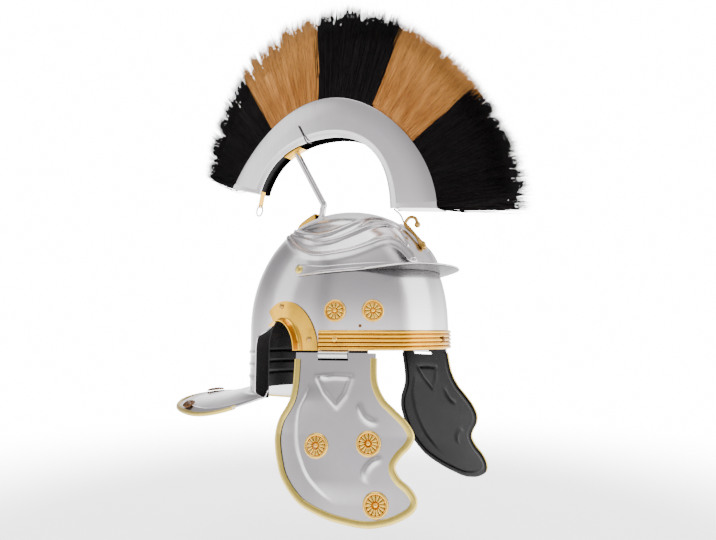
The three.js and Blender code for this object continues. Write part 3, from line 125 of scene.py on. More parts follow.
PLUME_BANDS = [
    {"name": "plume_1_black", "up_to": 60.7, "tan": False},
    {"name": "plume_2_tan", "up_to": 89.6, "tan": True},
    {"name": "plume_3_black", "up_to": 119.7, "tan": False},
    {"name": "plume_4_tan", "up_to": 147.4, "tan": True},
    {"name": "plume_5_black", "up_to": 178, "tan": False},
]
HAIR_TIPS = [
    {"angle": 24, "reach": 0.4, "lean": -3}, {"angle": 35, "reach": 0.62, "lean": -2},
    {"angle": 48, "reach": 0.8, "lean": 0}, {"angle": 62, "reach": 0.96, "lean": 1},
    {"angle": 78, "reach": 1, "lean": 1}, {"angle": 95, "reach": 0.97, "lean": 0},
    {"angle": 112, "reach": 0.92, "lean": 0}, {"angle": 130, "reach": 0.84, "lean": 1},
    {"angle": 150, "reach": 0.8, "lean": 2}, {"angle": 165, "reach": 0.82, "lean": 3},
    {"angle": 178, "reach": 0.8, "lean": 4},
]

# Rod: its knee behind the crown, and the places on the crown where its foot lands, lies flat and ends
ROD_KNEE = (0, 0.033, 0.141)
ROD_LANDS, ROD_LIES, ROD_ENDS = 0.034, 0.041, 0.057
BRACKET_HALF = 0.007
BRACKET_SHEET = 0.0015
KEEPER_PROFILE = [
    {"forward": 0.041, "rise": 0.0115}, {"forward": 0.063, "rise": 0.014},
    {"forward": 0.084, "rise": 0}, {"forward": 0.093, "rise": 0},
]

HOOK_RADIUS = 0.0021
HOOK_BALL = 0.0031
HOOK_RIVET = 0.0028
HOOK_CURL = [{"forward": -0.02, "up": 0.5}, {"forward": 0.35, "up": 1},
             {"forward": 0.82, "up": 0.8}, {"forward": 1, "up": 0.05}]
WIRE_RADIUS = 0.0008
SIDE_WIRE_HOLE, SIDE_WIRE_EDGE, SIDE_WIRE_END = 77.5, 81.4, 84.0
PLUME_SEED = 710

# Stage: lamps, camera and the light of the room by height and by side, in degrees
LAMPS = [
    {"name": "key_light", "place": (0.75, -1.95, 0.5), "width": 1.5, "height": 2.0, "power": "key"},
    {"name": "top_light", "place": (-0.5, 0.1, 2.2), "width": 1.8, "height": 1.8, "power": "top"},
    {"name": "rear_light", "place": (-1.2, 1.6, 0.6), "width": 0.9, "height": 1.6, "power": "rear"},
]
CAMERA_PLACE = (-0.520, -0.3507, -0.1246)
CAMERA_HEADING = (0.8387, 0.5446)
CAMERA_PITCH = 5.906
CAMERA_LENS = 29.16
ROOM_BY_HEIGHT = [
    {"at": -1, "light": 1.9}, {"at": -0.12, "light": 1.55}, {"at": 0.08, "light": 0.95},
    {"at": 0.28, "light": 0.5}, {"at": 0.6, "light": 0.36}, {"at": 0.85, "light": 0.6},
]
ROOM_BY_SIDE = [
    {"at": -180, "light": 0.85}, {"at": -172, "light": 0.95}, {"at": -110, "light": 0.88},
    {"at": -97, "light": 0.7}, {"at": -84, "light": 1.9}, {"at": -12, "light": 1.7},
    {"at": 5, "light": 0.9}, {"at": 22, "light": 2.2}, {"at": 52, "light": 2},
    {"at": 68, "light": 0.6}, {"at": 92, "light": 0.62}, {"at": 112, "light": 1},
    {"at": 160, "light": 1.05}, {"at": 171, "light": 0.6}, {"at": 178, "light": 0.62},
]

# Brasses: the tint of their stains, their roughness, and the stains' fineness and strength
BRASSES = {
    "brass": {"stain": (0.5, 0.44, 0.4), "rough": 0.17, "scale": 70, "depth": 0.5},
    "pressed_brass": {"stain": (0.5, 0.36, 0.25), "rough": 0.26, "scale": 240, "depth": 0.6},
    "pale_brass": {"stain": (0.7, 0.62, 0.45), "rough": 0.3, "scale": 120, "depth": 0.5},
    "red_brass": {"stain": (0.5, 0.4, 0.3), "rough": 0.3, "scale": 260, "depth": 0.6},
    "dark_brass": {"stain": (0.3, 0.3, 0.3), "rough": 0.36, "scale": 380, "depth": 0.8},
}


# Sizes and colours that a user would change

def length(name, description, default):
    return FloatProperty(name=name, description=description, default=default, unit="LENGTH", precision=4)


def share(name, description, default):
    return FloatProperty(name=name, description=description, default=default, min=0, max=1,
                         subtype="FACTOR")


def number(name, description, default):
    return FloatProperty(name=name, description=description, default=default)


def colour(name, description, default):
    return FloatVectorProperty(name=name, description=description, default=default, min=0, max=1,
                               size=3, subtype="COLOR")


class BowlSizes(bpy.types.PropertyGroup):
    half_width: length("Half width", "From the middle to the side of the bowl", 0.095)
    half_length: length("Half length", "From the middle to the brow of the bowl", 0.109)
    crown_height: length("Crown height", "From the brow band's top edge to the crown", 0.126)
    steel: length("Steel", "Thickness of the beaten sheet", 0.0014)
    roundness_front: number("Front roundness", "Power of the bowl's curve at the front", 2.3)
    roundness_rear: number("Rear roundness", "Power of the bowl's curve at the back", 2.05)
    rim_drop: length("Rim drop", "From the brow band's top edge to the rim", 0.0187)
    nape_drop: length("Nape drop", "From the brow band's top edge to the neck guard", 0.065)
    rib_first: length("First nape rib", "From the brow band's top edge to the first rib", 0.023)
    rib_pitch: length("Nape rib pitch", "Between the ribs of the nape", 0.0125)
    rib_rise: length("Nape rib rise", "Height of the ribs of the nape", 0.0013)
    low_ridge: length("Lowest eyebrow", "Height of the lowest eyebrow ridge", 0.0034)
    high_ridge: length("Upper eyebrows", "Height of the two upper eyebrow ridges", 0.0022)
    hollow: length("Hollow", "Depth of the hollow above the eyebrows", 0.0009)
    ear_centre: length("Ear centre", "From the bowl's middle back to the middle of the ear opening", 0.009)
    ear_half: length("Ear half width", "Half the width of the ear opening", 0.0225)
    ear_top: length("Ear top", "Top of the ear opening above the brow band's top edge", 0.013)
    flange: length("Nape flange", "How far the nape's front edges turn outwards", 0.011)


class GuardSizes(bpy.types.PropertyGroup):
    half_width: length("Half width", "From the middle to the corner of the neck guard", 0.104)
    reach: length("Reach", "How far the neck guard stands out behind the bowl", 0.103)
    squareness: number("Squareness", "Power of the neck guard's outline", 2.7)
    rear_drop: length("Rear drop", "How far the guard slopes down to its rear edge", 0.014)
    corner_drop: length("Corner drop", "How far the guard's corners bend down", 0.018)
    ridge_rise: length("Ridge rise", "Height of the ridge inside the guard's edge", 0.0016)
    ridge_inset: length("Ridge inset", "From the guard's edge to its ridge", 0.014)
    trim: length("Trim", "Width of the brass folded over the edge", 0.004)
    leaf_length: length("Leaf length", "Length of a cast leaf", 0.027)
    leaf_width: length("Leaf width", "Width of a cast leaf", 0.014)
    leaf_rise: length("Leaf rise", "Height of a cast leaf", 0.0034)


class PeakSizes(bpy.types.PropertyGroup):
    height: length("Height", "From the brow band's top edge to the peak's arms", 0.0505)
    slope: number("Slope", "Rise of the peak's lower line towards the front", 0.07)
    leg: length("Leg", "Height of the strip that lies on the bowl", 0.0065)
    lug: length("Lug", "Width of the round end of an arm", 0.012)
    reach: length("Reach", "How far the peak stands out over the brow", 0.021)
    lift: length("Lift", "How far the peak's edge rises", 0.0036)
    flange_angle: number("Flange angle", "Angle from the front at which the flange begins", 58)
    flange_fade: number("Flange fade", "Angle over which the flange reaches its full width", 38)
    rivet_around: number("Rivet angle", "Angle of the peak's rivets from the front", 88)
    rivet_radius: length("Rivet radius", "Radius of the peak's rivets", 0.0042)


class BrassSizes(bpy.types.PropertyGroup):
    sheet: length("Sheet", "Thickness of the brass sheet", 0.001)
    band_half_angle: number("Band half angle", "Half the angle that the brow band spans", 74)
    band_ribs: IntProperty(name="Band ribs", description="Number of ribs in the brow band", default=5)
    band_rib_rise: length("Band rib rise", "Height of the brow band's ribs", 0.0017)
    band_rivet_drop: length("Band rivets", "From the band's top edge down to its rivets", 0.0085)
    ear_width: length("Ear guard width", "Width of the ear guard at its foot", 0.016)
    ear_rear_width: length("Ear guard rear width", "Width of the ear guard at its rear end", 0.012)
    ear_lip: length("Ear guard lip", "How far the lip flares outwards", 0.009)
    ear_end: share("Ear guard end", "Share of the ear arch that the guard follows", 0.7)
    rivet_radius: length("Rivet radius", "Radius of the small rivets", 0.0026)
    nail_radius: length("Nail radius", "Radius of the bowl's small nails", 0.0015)


class RosetteSizes(bpy.types.PropertyGroup):
    bowl_radius: length("Bowl rosettes", "Radius of the rosettes on the bowl", 0.0104)
    bowl_height: length("Bowl rosette height", "Above the brow band's top edge", 0.0175)
    cheek_radius: length("Cheek rosettes", "Radius of the rosettes on the cheek pieces", 0.011)
    rise: length("Rise", "Height of a rosette", 0.0024)
    bowl_petals: IntProperty(name="Bowl petals", description="Petals of a rosette on the bowl", default=11)
    cheek_petals: IntProperty(name="Cheek petals", description="Petals of a rosette on a cheek", default=14)


class CheekSizes(bpy.types.PropertyGroup):
    length: length("Length", "From the hinge to the chin", 0.142)
    width: length("Width", "Width that the outline's shares refer to", 0.1245)
    splay: number("Splay", "Turn of the cheek piece from the fore-and-aft line, in degrees", 21)
    flare: number("Flare", "Outward lean of the cheek piece, in degrees", 12)
    dish: length("Dish", "Depth of the cheek piece's hollow", 0.005)
    offset: length("Offset", "From the middle plane to the hinge", 0.0934)
    setback: length("Setback", "From the bowl's middle forward to the hinge", -0.033)
    steel: length("Steel", "Thickness of the cheek plate", 0.0013)
    binding: length("Binding", "Width of the brass binding", 0.0046)
    crease_rise: length("Crease", "Height of the step along the curved crease", 0.0016)
    emboss_rise: length("Embossing", "Height of the embossed triangle", 0.0012)
    hinge_width: length("Hinge width", "Width of the hinge strap", 0.027)
    hinge_along: length("Hinge place", "From the hinge's origin forward to its middle", 0.012)
    hinge_bar: length("Hinge bar", "Thickness of the bar in the strap's loop", 0.003)
    hinge_slot: length("Hinge slot", "Height of the slot below the bar", 0.004)
    hinge_bore: length("Hinge bore", "Inner radius of the strap's loop", 0.0021)
    hinge_leaf: length("Hinge leaf", "Height of the strap inside the rim", 0.015)


class CrestSizes(bpy.types.PropertyGroup):
    thickness: length("Thickness", "From side to side of the crest box", 0.022)
    centre: length("Centre", "From the bowl's middle back to the crest's centre", 0.035)
    inner_radius: length("Inner radius", "Radius of the box's inner edge", 0.0958)
    inner_height: length("Inner centre height", "Height of the inner edge's centre", 0.1217)
    outer_radius: length("Outer radius", "Radius of the box's outer edge", 0.1446)
    outer_height: length("Outer centre height", "Height of the outer edge's centre", 0.1132)
    shoulder: length("Shoulder", "How far the arc is squared at its shoulders", 0.0026)
    rear_angle: number("Rear angle", "Angle of the box's rear end", 25.5)
    front_angle: number("Front angle", "Angle of the box's front end", 178)
    border: length("Border", "Width of the bevelled border along the inner edge", 0.008)
    bevel: length("Bevel", "Depth of the border's bevel", 0.0018)
    floor: length("Floor", "From the inner edge to the box's floor", 0.005)
    sheet: length("Sheet", "Thickness of the box's sheet", 0.0013)
    rod_radius: length("Rod radius", "Radius of the crest rod", 0.0036)
    rod_top_angle: number("Rod angle", "Angle of the rod's upper end on the box", 66)
    hook_drop: length("Hook drop", "From the crest's front end down to the hook's rivet", 0.041)
    hook_rise: length("Hook rise", "Height of the hook's curl above the bowl", 0.008)
    hook_reach: length("Hook reach", "How far the hook's curl stands forward", 0.013)
    keeper_width: length("Keeper width", "Width of the brass keeper on the crown", 0.012)


class PlumeSizes(bpy.types.PropertyGroup):
    strands: IntProperty(name="Strands", description="Strands of hair in a band", default=4900, min=100)
    reach: length("Reach", "Longest hair, from the box's edge", 0.11)
    root_half: length("Root half width", "Half the hair's thickness in the box", 0.009)
    tip_half: length("Tip half width", "Half the hair's thickness at its tips", 0.021)
    strand_radius: length("Strand radius", "Radius of a strand at its root", 0.0004)
    droop: length("Droop", "How far level hair sinks at its tips", 0.004)
    uneven: share("Uneven tips", "Share of the length by which the tips vary", 0.1)
    clumping: share("Clumping", "How far the tips gather into locks", 0.22)
    core: share("Core", "Share of the length that the dense core fills", 0.72)


class FinishColours(bpy.types.PropertyGroup):
    steel: colour("Steel", "Polished steel", (0.67, 0.645, 0.645))
    steel_roughness: share("Steel roughness", "Roughness of the polished steel", 0.2)
    brass: colour("Brass", "Brow band and ear guards", (0.82, 0.45, 0.03))
    pressed_brass: colour("Rosette brass", "Pressed brass of the rosettes", (0.85, 0.52, 0.08))
    pale_brass: colour("Pale brass", "Cheek bindings and trim", (0.74, 0.56, 0.12))
    red_brass: colour("Red brass", "Front hook", (0.5, 0.29, 0.07))
    # Dark brass also gives the painted shade in the grooves of the rosettes and the brow band.
    dark_brass: colour("Dark brass", "Cast leaves and nails", (0.16, 0.075, 0.025))
    paint: colour("Paint", "Gloss black inside the steel", (0.0025, 0.002, 0.0025))
    wire: colour("Wire", "Blackened wire", (0.02, 0.018, 0.018))
    black_hair: colour("Black hair", "Black horsehair", (0.0022, 0.0016, 0.0018))
    tan_hair: colour("Tan hair", "Tan horsehair", (0.38, 0.145, 0.024))
    tan_tips: colour("Tan tips", "Ends of the tan horsehair", (0.6, 0.28, 0.065))


class StageSizes(bpy.types.PropertyGroup):
    floor_height: length("Floor height", "Height of the floor below the helmet's origin", -0.36)
    floor_radius: length("Floor radius", "Radius of the floor", 3.0)
    floor_fade: length("Floor fade", "Distance at which the floor has faded into the backdrop", 1.1)
    floor_glow: number("Floor glow", "Light that the white floor gives off", 2.2)
    floor_colour: colour("Floor colour", "Pale floor", (0.9, 0.9, 0.9))
    sky: number("Sky", "Strength of the studio's surround", 1.7)
    backdrop: number("Backdrop", "Strength of the white seen behind the helmet", 16.0)
    key: number("Key light", "Power of the front soft box, in watts", 22)
    top: number("Top light", "Power of the overhead soft box, in watts", 26)
    rear: number("Rear light", "Power of the rear soft box, in watts", 6)


# Plain helpers for shapes

def stack(*parts):
    return np.stack(np.broadcast_arrays(*parts), -1)


def unit(vectors):
    return vectors / np.maximum(np.linalg.norm(vectors, axis=-1, keepdims=True), 1e-12)


def ease(start, end, at):
    part = np.clip((at - start) / (end - start), 0, 1)
    return part * part * (3 - 2 * part)


def column(rows, key):
    return np.array([row[key] for row in rows], float)


def read(rows, key, value, at):
    return np.interp(at, column(rows, key), column(rows, value))


def smooth_line(points, count):
    """Points spread evenly along a smooth line through the given ones."""
    points = np.asarray(points, float)
    line = np.vstack([2 * points[0] - points[1], points, 2 * points[-1] - points[-2]])
    t = np.linspace(0, 1, 24, endpoint=False)[:, None]
    dense = []
    for k in range(len(points) - 1):
        a, b, c, d = line[k:k + 4]
        dense.append(0.5 * (2 * b + (c - a) * t + (2 * a - 5 * b + 4 * c - d) * t ** 2
                            + (3 * b - a - 3 * c + d) * t ** 3))
    dense = np.vstack([*dense, points[-1:]])
    run = np.concatenate([[0], np.cumsum(np.linalg.norm(np.diff(dense, axis=0), axis=1))])
    at = np.linspace(0, run[-1], count)
    return np.stack([np.interp(at, run, dense[:, k]) for k in range(dense.shape[1])], -1)


def distance_to(points, line):
    """Distance of each point to the nearest place on a line of straight stretches."""
    nearest = np.full(points.shape[:-1], np.inf)
    for a, b in zip(line[:-1], line[1:]):
        along = b - a
        t = np.clip(((points - a) @ along) / (along @ along), 0, 1)
        nearest = np.minimum(nearest, np.linalg.norm(points - a - t[..., None] * along, axis=-1))
    return nearest


def grid_faces(rows, columns, wrap=False, wrap_rows=False):
    r = np.arange(rows if wrap_rows else rows - 1)[:, None]
    c = np.arange(columns if wrap else columns - 1)[None, :]
    below = (r + 1) % rows
    beside = (c + 1) % columns
    quads = stack(r * columns + c, r * columns + beside, below * columns + beside, below * columns + c)
    return quads.reshape(-1, 4)


def ring_about(turns, side, other):
    """Directions at the given turns about an axis."""
    return np.cos(turns)[None, :, None] * side + np.sin(turns)[None, :, None] * other


def add_object(name, data):
    made = bpy.data.objects.new(name, data)
    bpy.context.scene.collection.objects.link(made)
    return made


def face_outwards(mesh, merge=False):
    """Turns a closed mesh's faces outwards, and may first merge points that coincide."""
    tidy = bmesh.new()
    tidy.from_mesh(mesh)
    if merge:
        bmesh.ops.remove_doubles(tidy, verts=tidy.verts, dist=1e-6)
    bmesh.ops.recalc_face_normals(tidy, faces=tidy.faces)
    tidy.to_mesh(mesh)
    tidy.free()


class Shape:
    """Collects patches of one mesh: their points, faces and finish numbers."""

    def __init__(self):
        self.points = []
        self.faces = []
        self.looks = []
        self.count = 0

    def add(self, points, faces, look=0):
        points = np.asarray(points, float).reshape(-1, 3)
        self.points.append(points)
        self.faces.append(np.asarray(faces) + self.count)
        self.looks.append(np.full(len(faces), look))
        self.count += len(points)
        return self

    def belt(self, points):
        """An open patch whose rows of points each close on themselves."""
        return self.add(points, grid_faces(*points.shape[:2], True))

    def sheet(self, front, back, faces, looks=(0, 0, 0)):
        """A closed plate between two skins that share their faces: front, back and edge finishes."""
        faces = np.asarray(faces)
        front = front.reshape(-1, 3)
        total = len(front)
        starts = faces.ravel()
        ends = np.roll(faces, -1, axis=1).ravel()
        keys = starts * total + ends
        free = ~np.isin(keys, ends * total + starts) & (starts != ends)
        a, b = starts[free], ends[free]
        first = self.count
        self.add(np.vstack([front, back.reshape(-1, 3)]), faces, looks[0])
        self.faces.append(faces[:, ::-1] + total + first)
        self.looks.append(np.full(len(faces), looks[1]))
        self.faces.append(stack(b, a, a + total, b + total) + first)
        self.looks.append(np.full(len(a), looks[2]))
        return self

    def sweep(self, stations, loop=False):
        """A closed section carried through stations (rows), with flat ends unless it loops."""
        rows, columns = stations.shape[:2]
        first = self.count
        self.add(stations, grid_faces(rows, columns, True, loop))
        if not loop:
            for row, turn in ((0, -1), (rows - 1, 1)):
                middle = stations[row].mean(0)
                ring = first + row * columns + np.arange(columns)[::turn]
                hub = self.count
                self.points.append(middle[None])
                self.count += 1
                self.faces.append(stack(ring, np.roll(ring, -1), np.full(columns, hub)))
                self.looks.append(np.zeros(columns, int))
        return self

    def mirror(self):
        """The same shape on the other side of the middle plane."""
        other = Shape()
        other.points = [points * (-1, 1, 1) for points in self.points]
        other.faces = [faces[:, ::-1] for faces in self.faces]
        other.looks = self.looks
        other.count = self.count
        return other

    def build(self, name, finishes, slot, replaces=(), body="helmet", outward=True, sharp=40):
        """Makes the mesh object, which rides on a body and stands for its solids."""
        points = np.vstack(self.points)
        faces = [face for patch in self.faces for face in patch.tolist()]
        mesh = bpy.data.meshes.new(name)
        mesh.from_pydata(points.tolist(), [], faces)
        for finish in finishes:
            mesh.materials.append(finish)
        mesh.polygons.foreach_set("material_index", np.concatenate(self.looks).astype(np.int32))
        if outward:
            face_outwards(mesh, merge=True)
        mesh.polygons.foreach_set("use_smooth", np.ones(len(mesh.polygons), bool))
        if sharp:
            mesh.set_sharp_from_angle(angle=math.radians(sharp))
        piece = add_object(name, mesh)
        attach(piece, body)
        if replaces:
            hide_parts(*replaces)
        return piece


def tube_rings(path, radius, sides=16, flat=1.0, across=(1, 0, 0)):
    """Rings of a round or flattened bar along a path, with domed ends."""
    path = np.asarray(path, float)
    radius = np.broadcast_to(np.asarray(radius, float), len(path)).copy()
    forward = unit(np.gradient(path, axis=0))
    side = unit(np.asarray(across, float) - (forward @ np.asarray(across, float))[:, None] * forward)
    up = np.cross(forward, side)
    turns = np.linspace(0, 2 * np.pi, sides, endpoint=False)
    ring = ring_about(turns, side[:, None], flat * up[:, None])
    body = path[:, None] + ring * radius[:, None, None]
    domes = []
    for end, outwards in ((0, -1), (-1, 1)):
        steps = np.radians([20, 45, 70, 85])
        lean = np.sin(steps) * radius[end] * flat * 0.8
        small = np.cos(steps)
        dome = path[end] + forward[end] * outwards * lean[:, None, None] + ring[end][None] * (
            radius[end] * small[:, None, None])
        domes.append(dome)
    return np.concatenate([domes[0][::-1], body, domes[1]])


def disc_frame(normal):
    """Two directions across a face and its outward one."""
    out = unit(np.asarray(normal, float))
    side = unit(np.cross((0, 0, 1), out)) if abs(out[2]) < 0.95 else np.array((1.0, 0, 0))
    return side, np.cross(out, side), out


def dome_rivet(radius, height, centre, normal, sides=28):
    """A low round head with a slightly flattened top."""
    turns = np.linspace(0, 2 * np.pi, sides, endpoint=False)
    lean = np.radians(np.linspace(90, 4, 9))
    out = np.concatenate([np.sin(lean), [0.001]]) * radius
    up = np.concatenate([np.cos(lean) ** 0.85, [1.0]]) * height
    side, other, front = disc_frame(normal)
    rings = centre + ring_about(turns, side, other) * out[:, None, None] + up[:, None, None] * front
    base = rings[:1] - front * radius * 0.12
    return np.concatenate([base, rings])


def make_rivet(name, radius, height, centre, normal, finish, slot="brass"):
    """A rivet's head as a piece of its own."""
    Shape().sweep(dome_rivet(radius, height, centre, normal)).build(name, [finish], slot, [name])


# The bowl's form

class BowlForm:
    """Surface of the bowl: around is the angle from the front in degrees, positive to the wearer's left."""

    def __init__(self, scene):
        self.sizes = scene.helmet_bowl
        self.peak = scene.helmet_peak
        self.drop = np.array((0, 0, self.sizes.steel - self.sizes.crown_height))
        lines = []
        for rows in (BROW_LOW, BROW_MIDDLE, BROW_TOP):
            places = smooth_line(np.stack([column(rows, "around"), column(rows, "height") * 100], -1), 60)
            lines.append(self.point(places[:, 0], places[:, 1] / 100 * self.sizes.crown_height))
        self.brow_lines = lines

    def roundness(self, around):
        low, high = self.sizes.roundness_rear, self.sizes.roundness_front
        return low + (high - low) * (0.5 + 0.5 * np.cos(np.radians(around)))

    def both(self, around, height):
        sizes = self.sizes
        around, height = np.broadcast_arrays(np.asarray(around, float), np.asarray(height, float))
        power = self.roundness(around)
        level = np.clip(height / sizes.crown_height, 0, 1)
        size = np.maximum(1 - level ** power, 0) ** (1 / power)
        turn = np.radians(around)
        point = stack(sizes.half_width * size * np.sin(turn),
                      -sizes.half_length * size * np.cos(turn), height)
        normal = unit(stack(size ** (power - 1) * np.sin(turn) / sizes.half_width,
                            -(size ** (power - 1)) * np.cos(turn) / sizes.half_length,
                            level ** (power - 1) / sizes.crown_height))
        return point, normal

    def point(self, around, height, out=0.0):
        point, normal = self.both(around, height)
        return point + np.asarray(out, float)[..., None] * normal

    def normal(self, around, height):
        return self.both(around, height)[1]

    def around_at(self, forward, height):
        power = self.roundness(90)
        size = (1 - np.clip(height / self.sizes.crown_height, 0, 1) ** power) ** (1 / power)
        return np.degrees(np.arccos(np.clip(-forward / (self.sizes.half_length * size), -1, 1)))

    def crown(self, forward, out=0.0):
        """A point of the crown line over the bowl's middle."""
        around = np.where(np.asarray(forward) > 0, 180.0, 0.0)
        power = self.roundness(around)
        share_out = np.abs(forward / self.sizes.half_length) ** power
        height = self.sizes.crown_height * (1 - share_out) ** (1 / power)
        return self.point(around, height, out)

    def peak_base(self, around):
        peak = self.peak
        return peak.height + peak.slope * self.sizes.half_length * np.cos(np.radians(around))

    def relief(self, around, height):
        """Height of the eyebrows, the hollow above them and the nape's ribs over the plain bowl."""
        sizes = self.sizes
        side = np.abs((np.asarray(around) + 180) % 360 - 180)
        here = self.point(side, height)
        rise = np.zeros(here.shape[:-1])
        widths = ((sizes.low_ridge, 0.0036), (sizes.high_ridge, 0.0024), (sizes.high_ridge, 0.0024))
        for line, (ridge, half) in zip(self.brow_lines, widths):
            rise = np.maximum(rise, ridge * np.exp(-(distance_to(here, line) / half) ** 2))
        floor = read(BROW_TOP, "around", "height", side) * sizes.crown_height
        ceiling = read(HOLLOW_TOP, "around", "height", side) * sizes.crown_height
        inside = np.minimum(height - floor, ceiling - height)
        rise = rise - sizes.hollow * ease(0.001, 0.006, inside)
        rise = rise * ease(0, 0.003, height - self.peak_base(side) - self.peak.leg - 0.001)
        corner = self.around_at(sizes.ear_centre + sizes.ear_half, 0)
        behind = ease(1, 5, side - corner)
        for rib in range(3):
            off = (height + sizes.rib_first + rib * sizes.rib_pitch) / (sizes.rib_pitch * 0.13)
            rise = rise + np.where(height < 0, behind * sizes.rib_rise * np.exp(-off * off), 0)
        return rise


def make_bowl(context):
    """The beaten bowl down to its rim, ear arches and nape."""
    form = BowlForm(context.scene)
    sizes = form.sizes
    arch = np.pi - np.linspace(0, np.pi, 27)
    arch_forward = sizes.ear_centre + sizes.ear_half * np.cos(arch)
    arch_around = np.degrees(np.arccos(-arch_forward / sizes.half_length))
    first, last = arch_around[0], arch_around[-1]
    before = np.concatenate([np.linspace(0, 10, 8)[:-1], np.linspace(10, first, 106)[:-1]])
    behind = np.concatenate([np.linspace(last, 126, 24)[1:], np.linspace(126, 180, 12)[1:]])
    half = np.concatenate([before, arch_around, behind])
    lift = np.concatenate([np.zeros(len(before)), np.sin(arch), np.zeros(len(behind))])
    lift = lift * (sizes.ear_top + sizes.rim_drop)
    around = np.concatenate([half, 360 - half[-2:0:-1]])
    lift = np.concatenate([lift, lift[-2:0:-1]])
    start = sizes.ear_top + 0.0015
    foot = math.degrees(math.asin(start / sizes.crown_height))
    tilt = np.radians(np.concatenate([np.linspace(90, 63, 14)[1:-1], np.linspace(63, 31, 78),
                                      np.linspace(31, foot, 12)[1:]]))
    dome = np.repeat((np.sin(tilt) * sizes.crown_height)[:, None], len(around), 1)
    low = -sizes.rim_drop + lift
    steps = np.linspace(0, 1, 14)[1:, None]
    wall = start + (low - start)[None] * steps
    heights = np.vstack([dome, wall])
    rows, columns = heights.shape
    rear = np.flatnonzero((around >= last - 1e-6) & (around <= 360 - last + 1e-6))
    nape_heights = np.linspace(-sizes.rim_drop, -sizes.nape_drop, 60)[1:]
    nape_around = around[rear]
    all_around = np.concatenate([[0], np.broadcast_to(around, heights.shape).ravel(),
                                 np.tile(nape_around, len(nape_heights))])
    all_height = np.concatenate([[sizes.crown_height], heights.ravel(), np.repeat(nape_heights, len(rear))])
    faces = grid_faces(rows, columns, True) + 1
    c = np.arange(columns)
    fan = stack(np.zeros(columns, int), (c + 1) % columns + 1, c + 1, c + 1)
    below = 1 + rows * columns + np.arange(len(nape_heights) * len(rear)).reshape(-1, len(rear))
    ladder = np.vstack([1 + (rows - 1) * columns + rear, below])
    nape = stack(ladder[:-1, :-1], ladder[:-1, 1:], ladder[1:, 1:], ladder[1:, :-1]).reshape(-1, 4)
    faces = np.vstack([fan, faces, nape])
    relief = form.relief(all_around, all_height)
    outer = form.point(all_around, all_height, relief) + form.drop
    inner = form.point(all_around, all_height, relief - sizes.steel) + form.drop
    shape = Shape().sheet(outer, inner, faces, (0, 1, 1))
    shape.build("bowl", [steel(), paint()], "polished_steel", ["steel_bowl"])
    make_flanges(form)


def make_flanges(form):
    """Strips turned outwards along the nape's front edges, black in front."""
    sizes = form.sizes
    front = sizes.ear_centre + sizes.ear_half
    upright = np.linspace(-sizes.nape_drop, -sizes.rim_drop, 30)
    turn = np.linspace(0.02, 0.62, 30) * np.pi / 2
    forward = np.concatenate([np.full(30, front), sizes.ear_centre + sizes.ear_half * np.cos(turn)])
    arch_height = (sizes.ear_top + sizes.rim_drop) * np.sin(turn) - sizes.rim_drop
    height = np.concatenate([upright, arch_height])
    away = np.clip((height + sizes.rim_drop) / (sizes.ear_top + sizes.rim_drop), 0, 1)
    fade = 1 - ease(0.35, 0.66, away) * 0.9
    foot = np.sqrt(np.clip((height + sizes.nape_drop) / 0.006, 0.02, 1))
    across = np.linspace(-0.001, 1, 14)
    around = -form.around_at(forward, height)
    point, normal = form.both(around[:, None], height[:, None])
    out = across[None] * (sizes.flange * fade * foot)[:, None]
    skin = point + out[..., None] * normal
    skin[..., 1] += np.maximum(out, 0) * 0.3 * (1 - away * 0.6)[:, None]
    back = skin.copy()
    back[..., 1] += (sizes.steel * (1 - away * 0.6))[:, None]
    back[..., 2] += (sizes.steel * away)[:, None]
    faces = grid_faces(*skin.shape[:2])
    shape = Shape().sheet(skin + form.drop, back + form.drop, faces, (1, 0, 0))
    for name, side in SIDES:
        made = shape if side > 0 else shape.mirror()
        made.build(f"nape_flange_{name}", [steel(), paint()], "polished_steel", ["steel_bowl"])


# Neck guard

class GuardForm:
    """The sloping guard behind the neck: turn 0 is its right front corner and 1 its left one."""

    def __init__(self, scene):
        self.sizes = scene.helmet_guard
        self.bowl = BowlForm(scene)
        self.front = self.bowl.sizes.ear_centre + self.bowl.sizes.ear_half
        self.level = -self.bowl.sizes.nape_drop

    def edge(self, turn):
        sizes = self.sizes
        angle = np.pi * (1 - np.asarray(turn, float))
        power = 2 / sizes.squareness
        reach = self.bowl.sizes.half_length + sizes.reach - self.front
        x = np.sign(np.cos(angle)) * np.abs(np.cos(angle)) ** power * sizes.half_width
        y = self.front + np.maximum(np.sin(angle), 0) ** power * reach
        back = (y - self.front) / reach
        side = np.abs(x) / sizes.half_width
        corner = sizes.corner_drop * side ** 2 * np.sin(np.minimum(back * 1.6, 1) * np.pi / 2)
        return stack(x, y, self.level - sizes.rear_drop * back - corner)

    def root(self, turn):
        start = 180 - np.degrees(np.arccos(np.clip(self.front / self.bowl.sizes.half_length, -1, 1)))
        around = -start + (2 * start - 360) * np.asarray(turn, float)
        return self.bowl.point(around, self.level, -self.bowl.sizes.steel / 2)

    def point(self, turn, part):
        root, edge = self.root(turn), self.edge(turn)
        turn, part = np.broadcast_arrays(turn, part)
        point = root + (edge - root) * part[..., None]
        width = np.linalg.norm(edge - root, axis=-1)
        bend = 0.005 * (1 - part) ** 4 * np.minimum(part * 8, 1)
        near = np.clip(part * width / 0.006, 0, 1)
        fillet = 0.006 * (1 - np.sqrt(np.maximum(1 - (1 - near) ** 2, 0)))
        off = ((1 - part) * width - self.sizes.ridge_inset) / 0.003
        point[..., 2] += bend + fillet + self.sizes.ridge_rise * np.exp(-off * off)
        return point

    def part_from_edge(self, turn, distance):
        width = np.linalg.norm(self.root(turn) - self.edge(turn), axis=-1)
        return np.maximum(1 - distance / width, 1 - 0.35 * distance / self.sizes.ridge_inset)


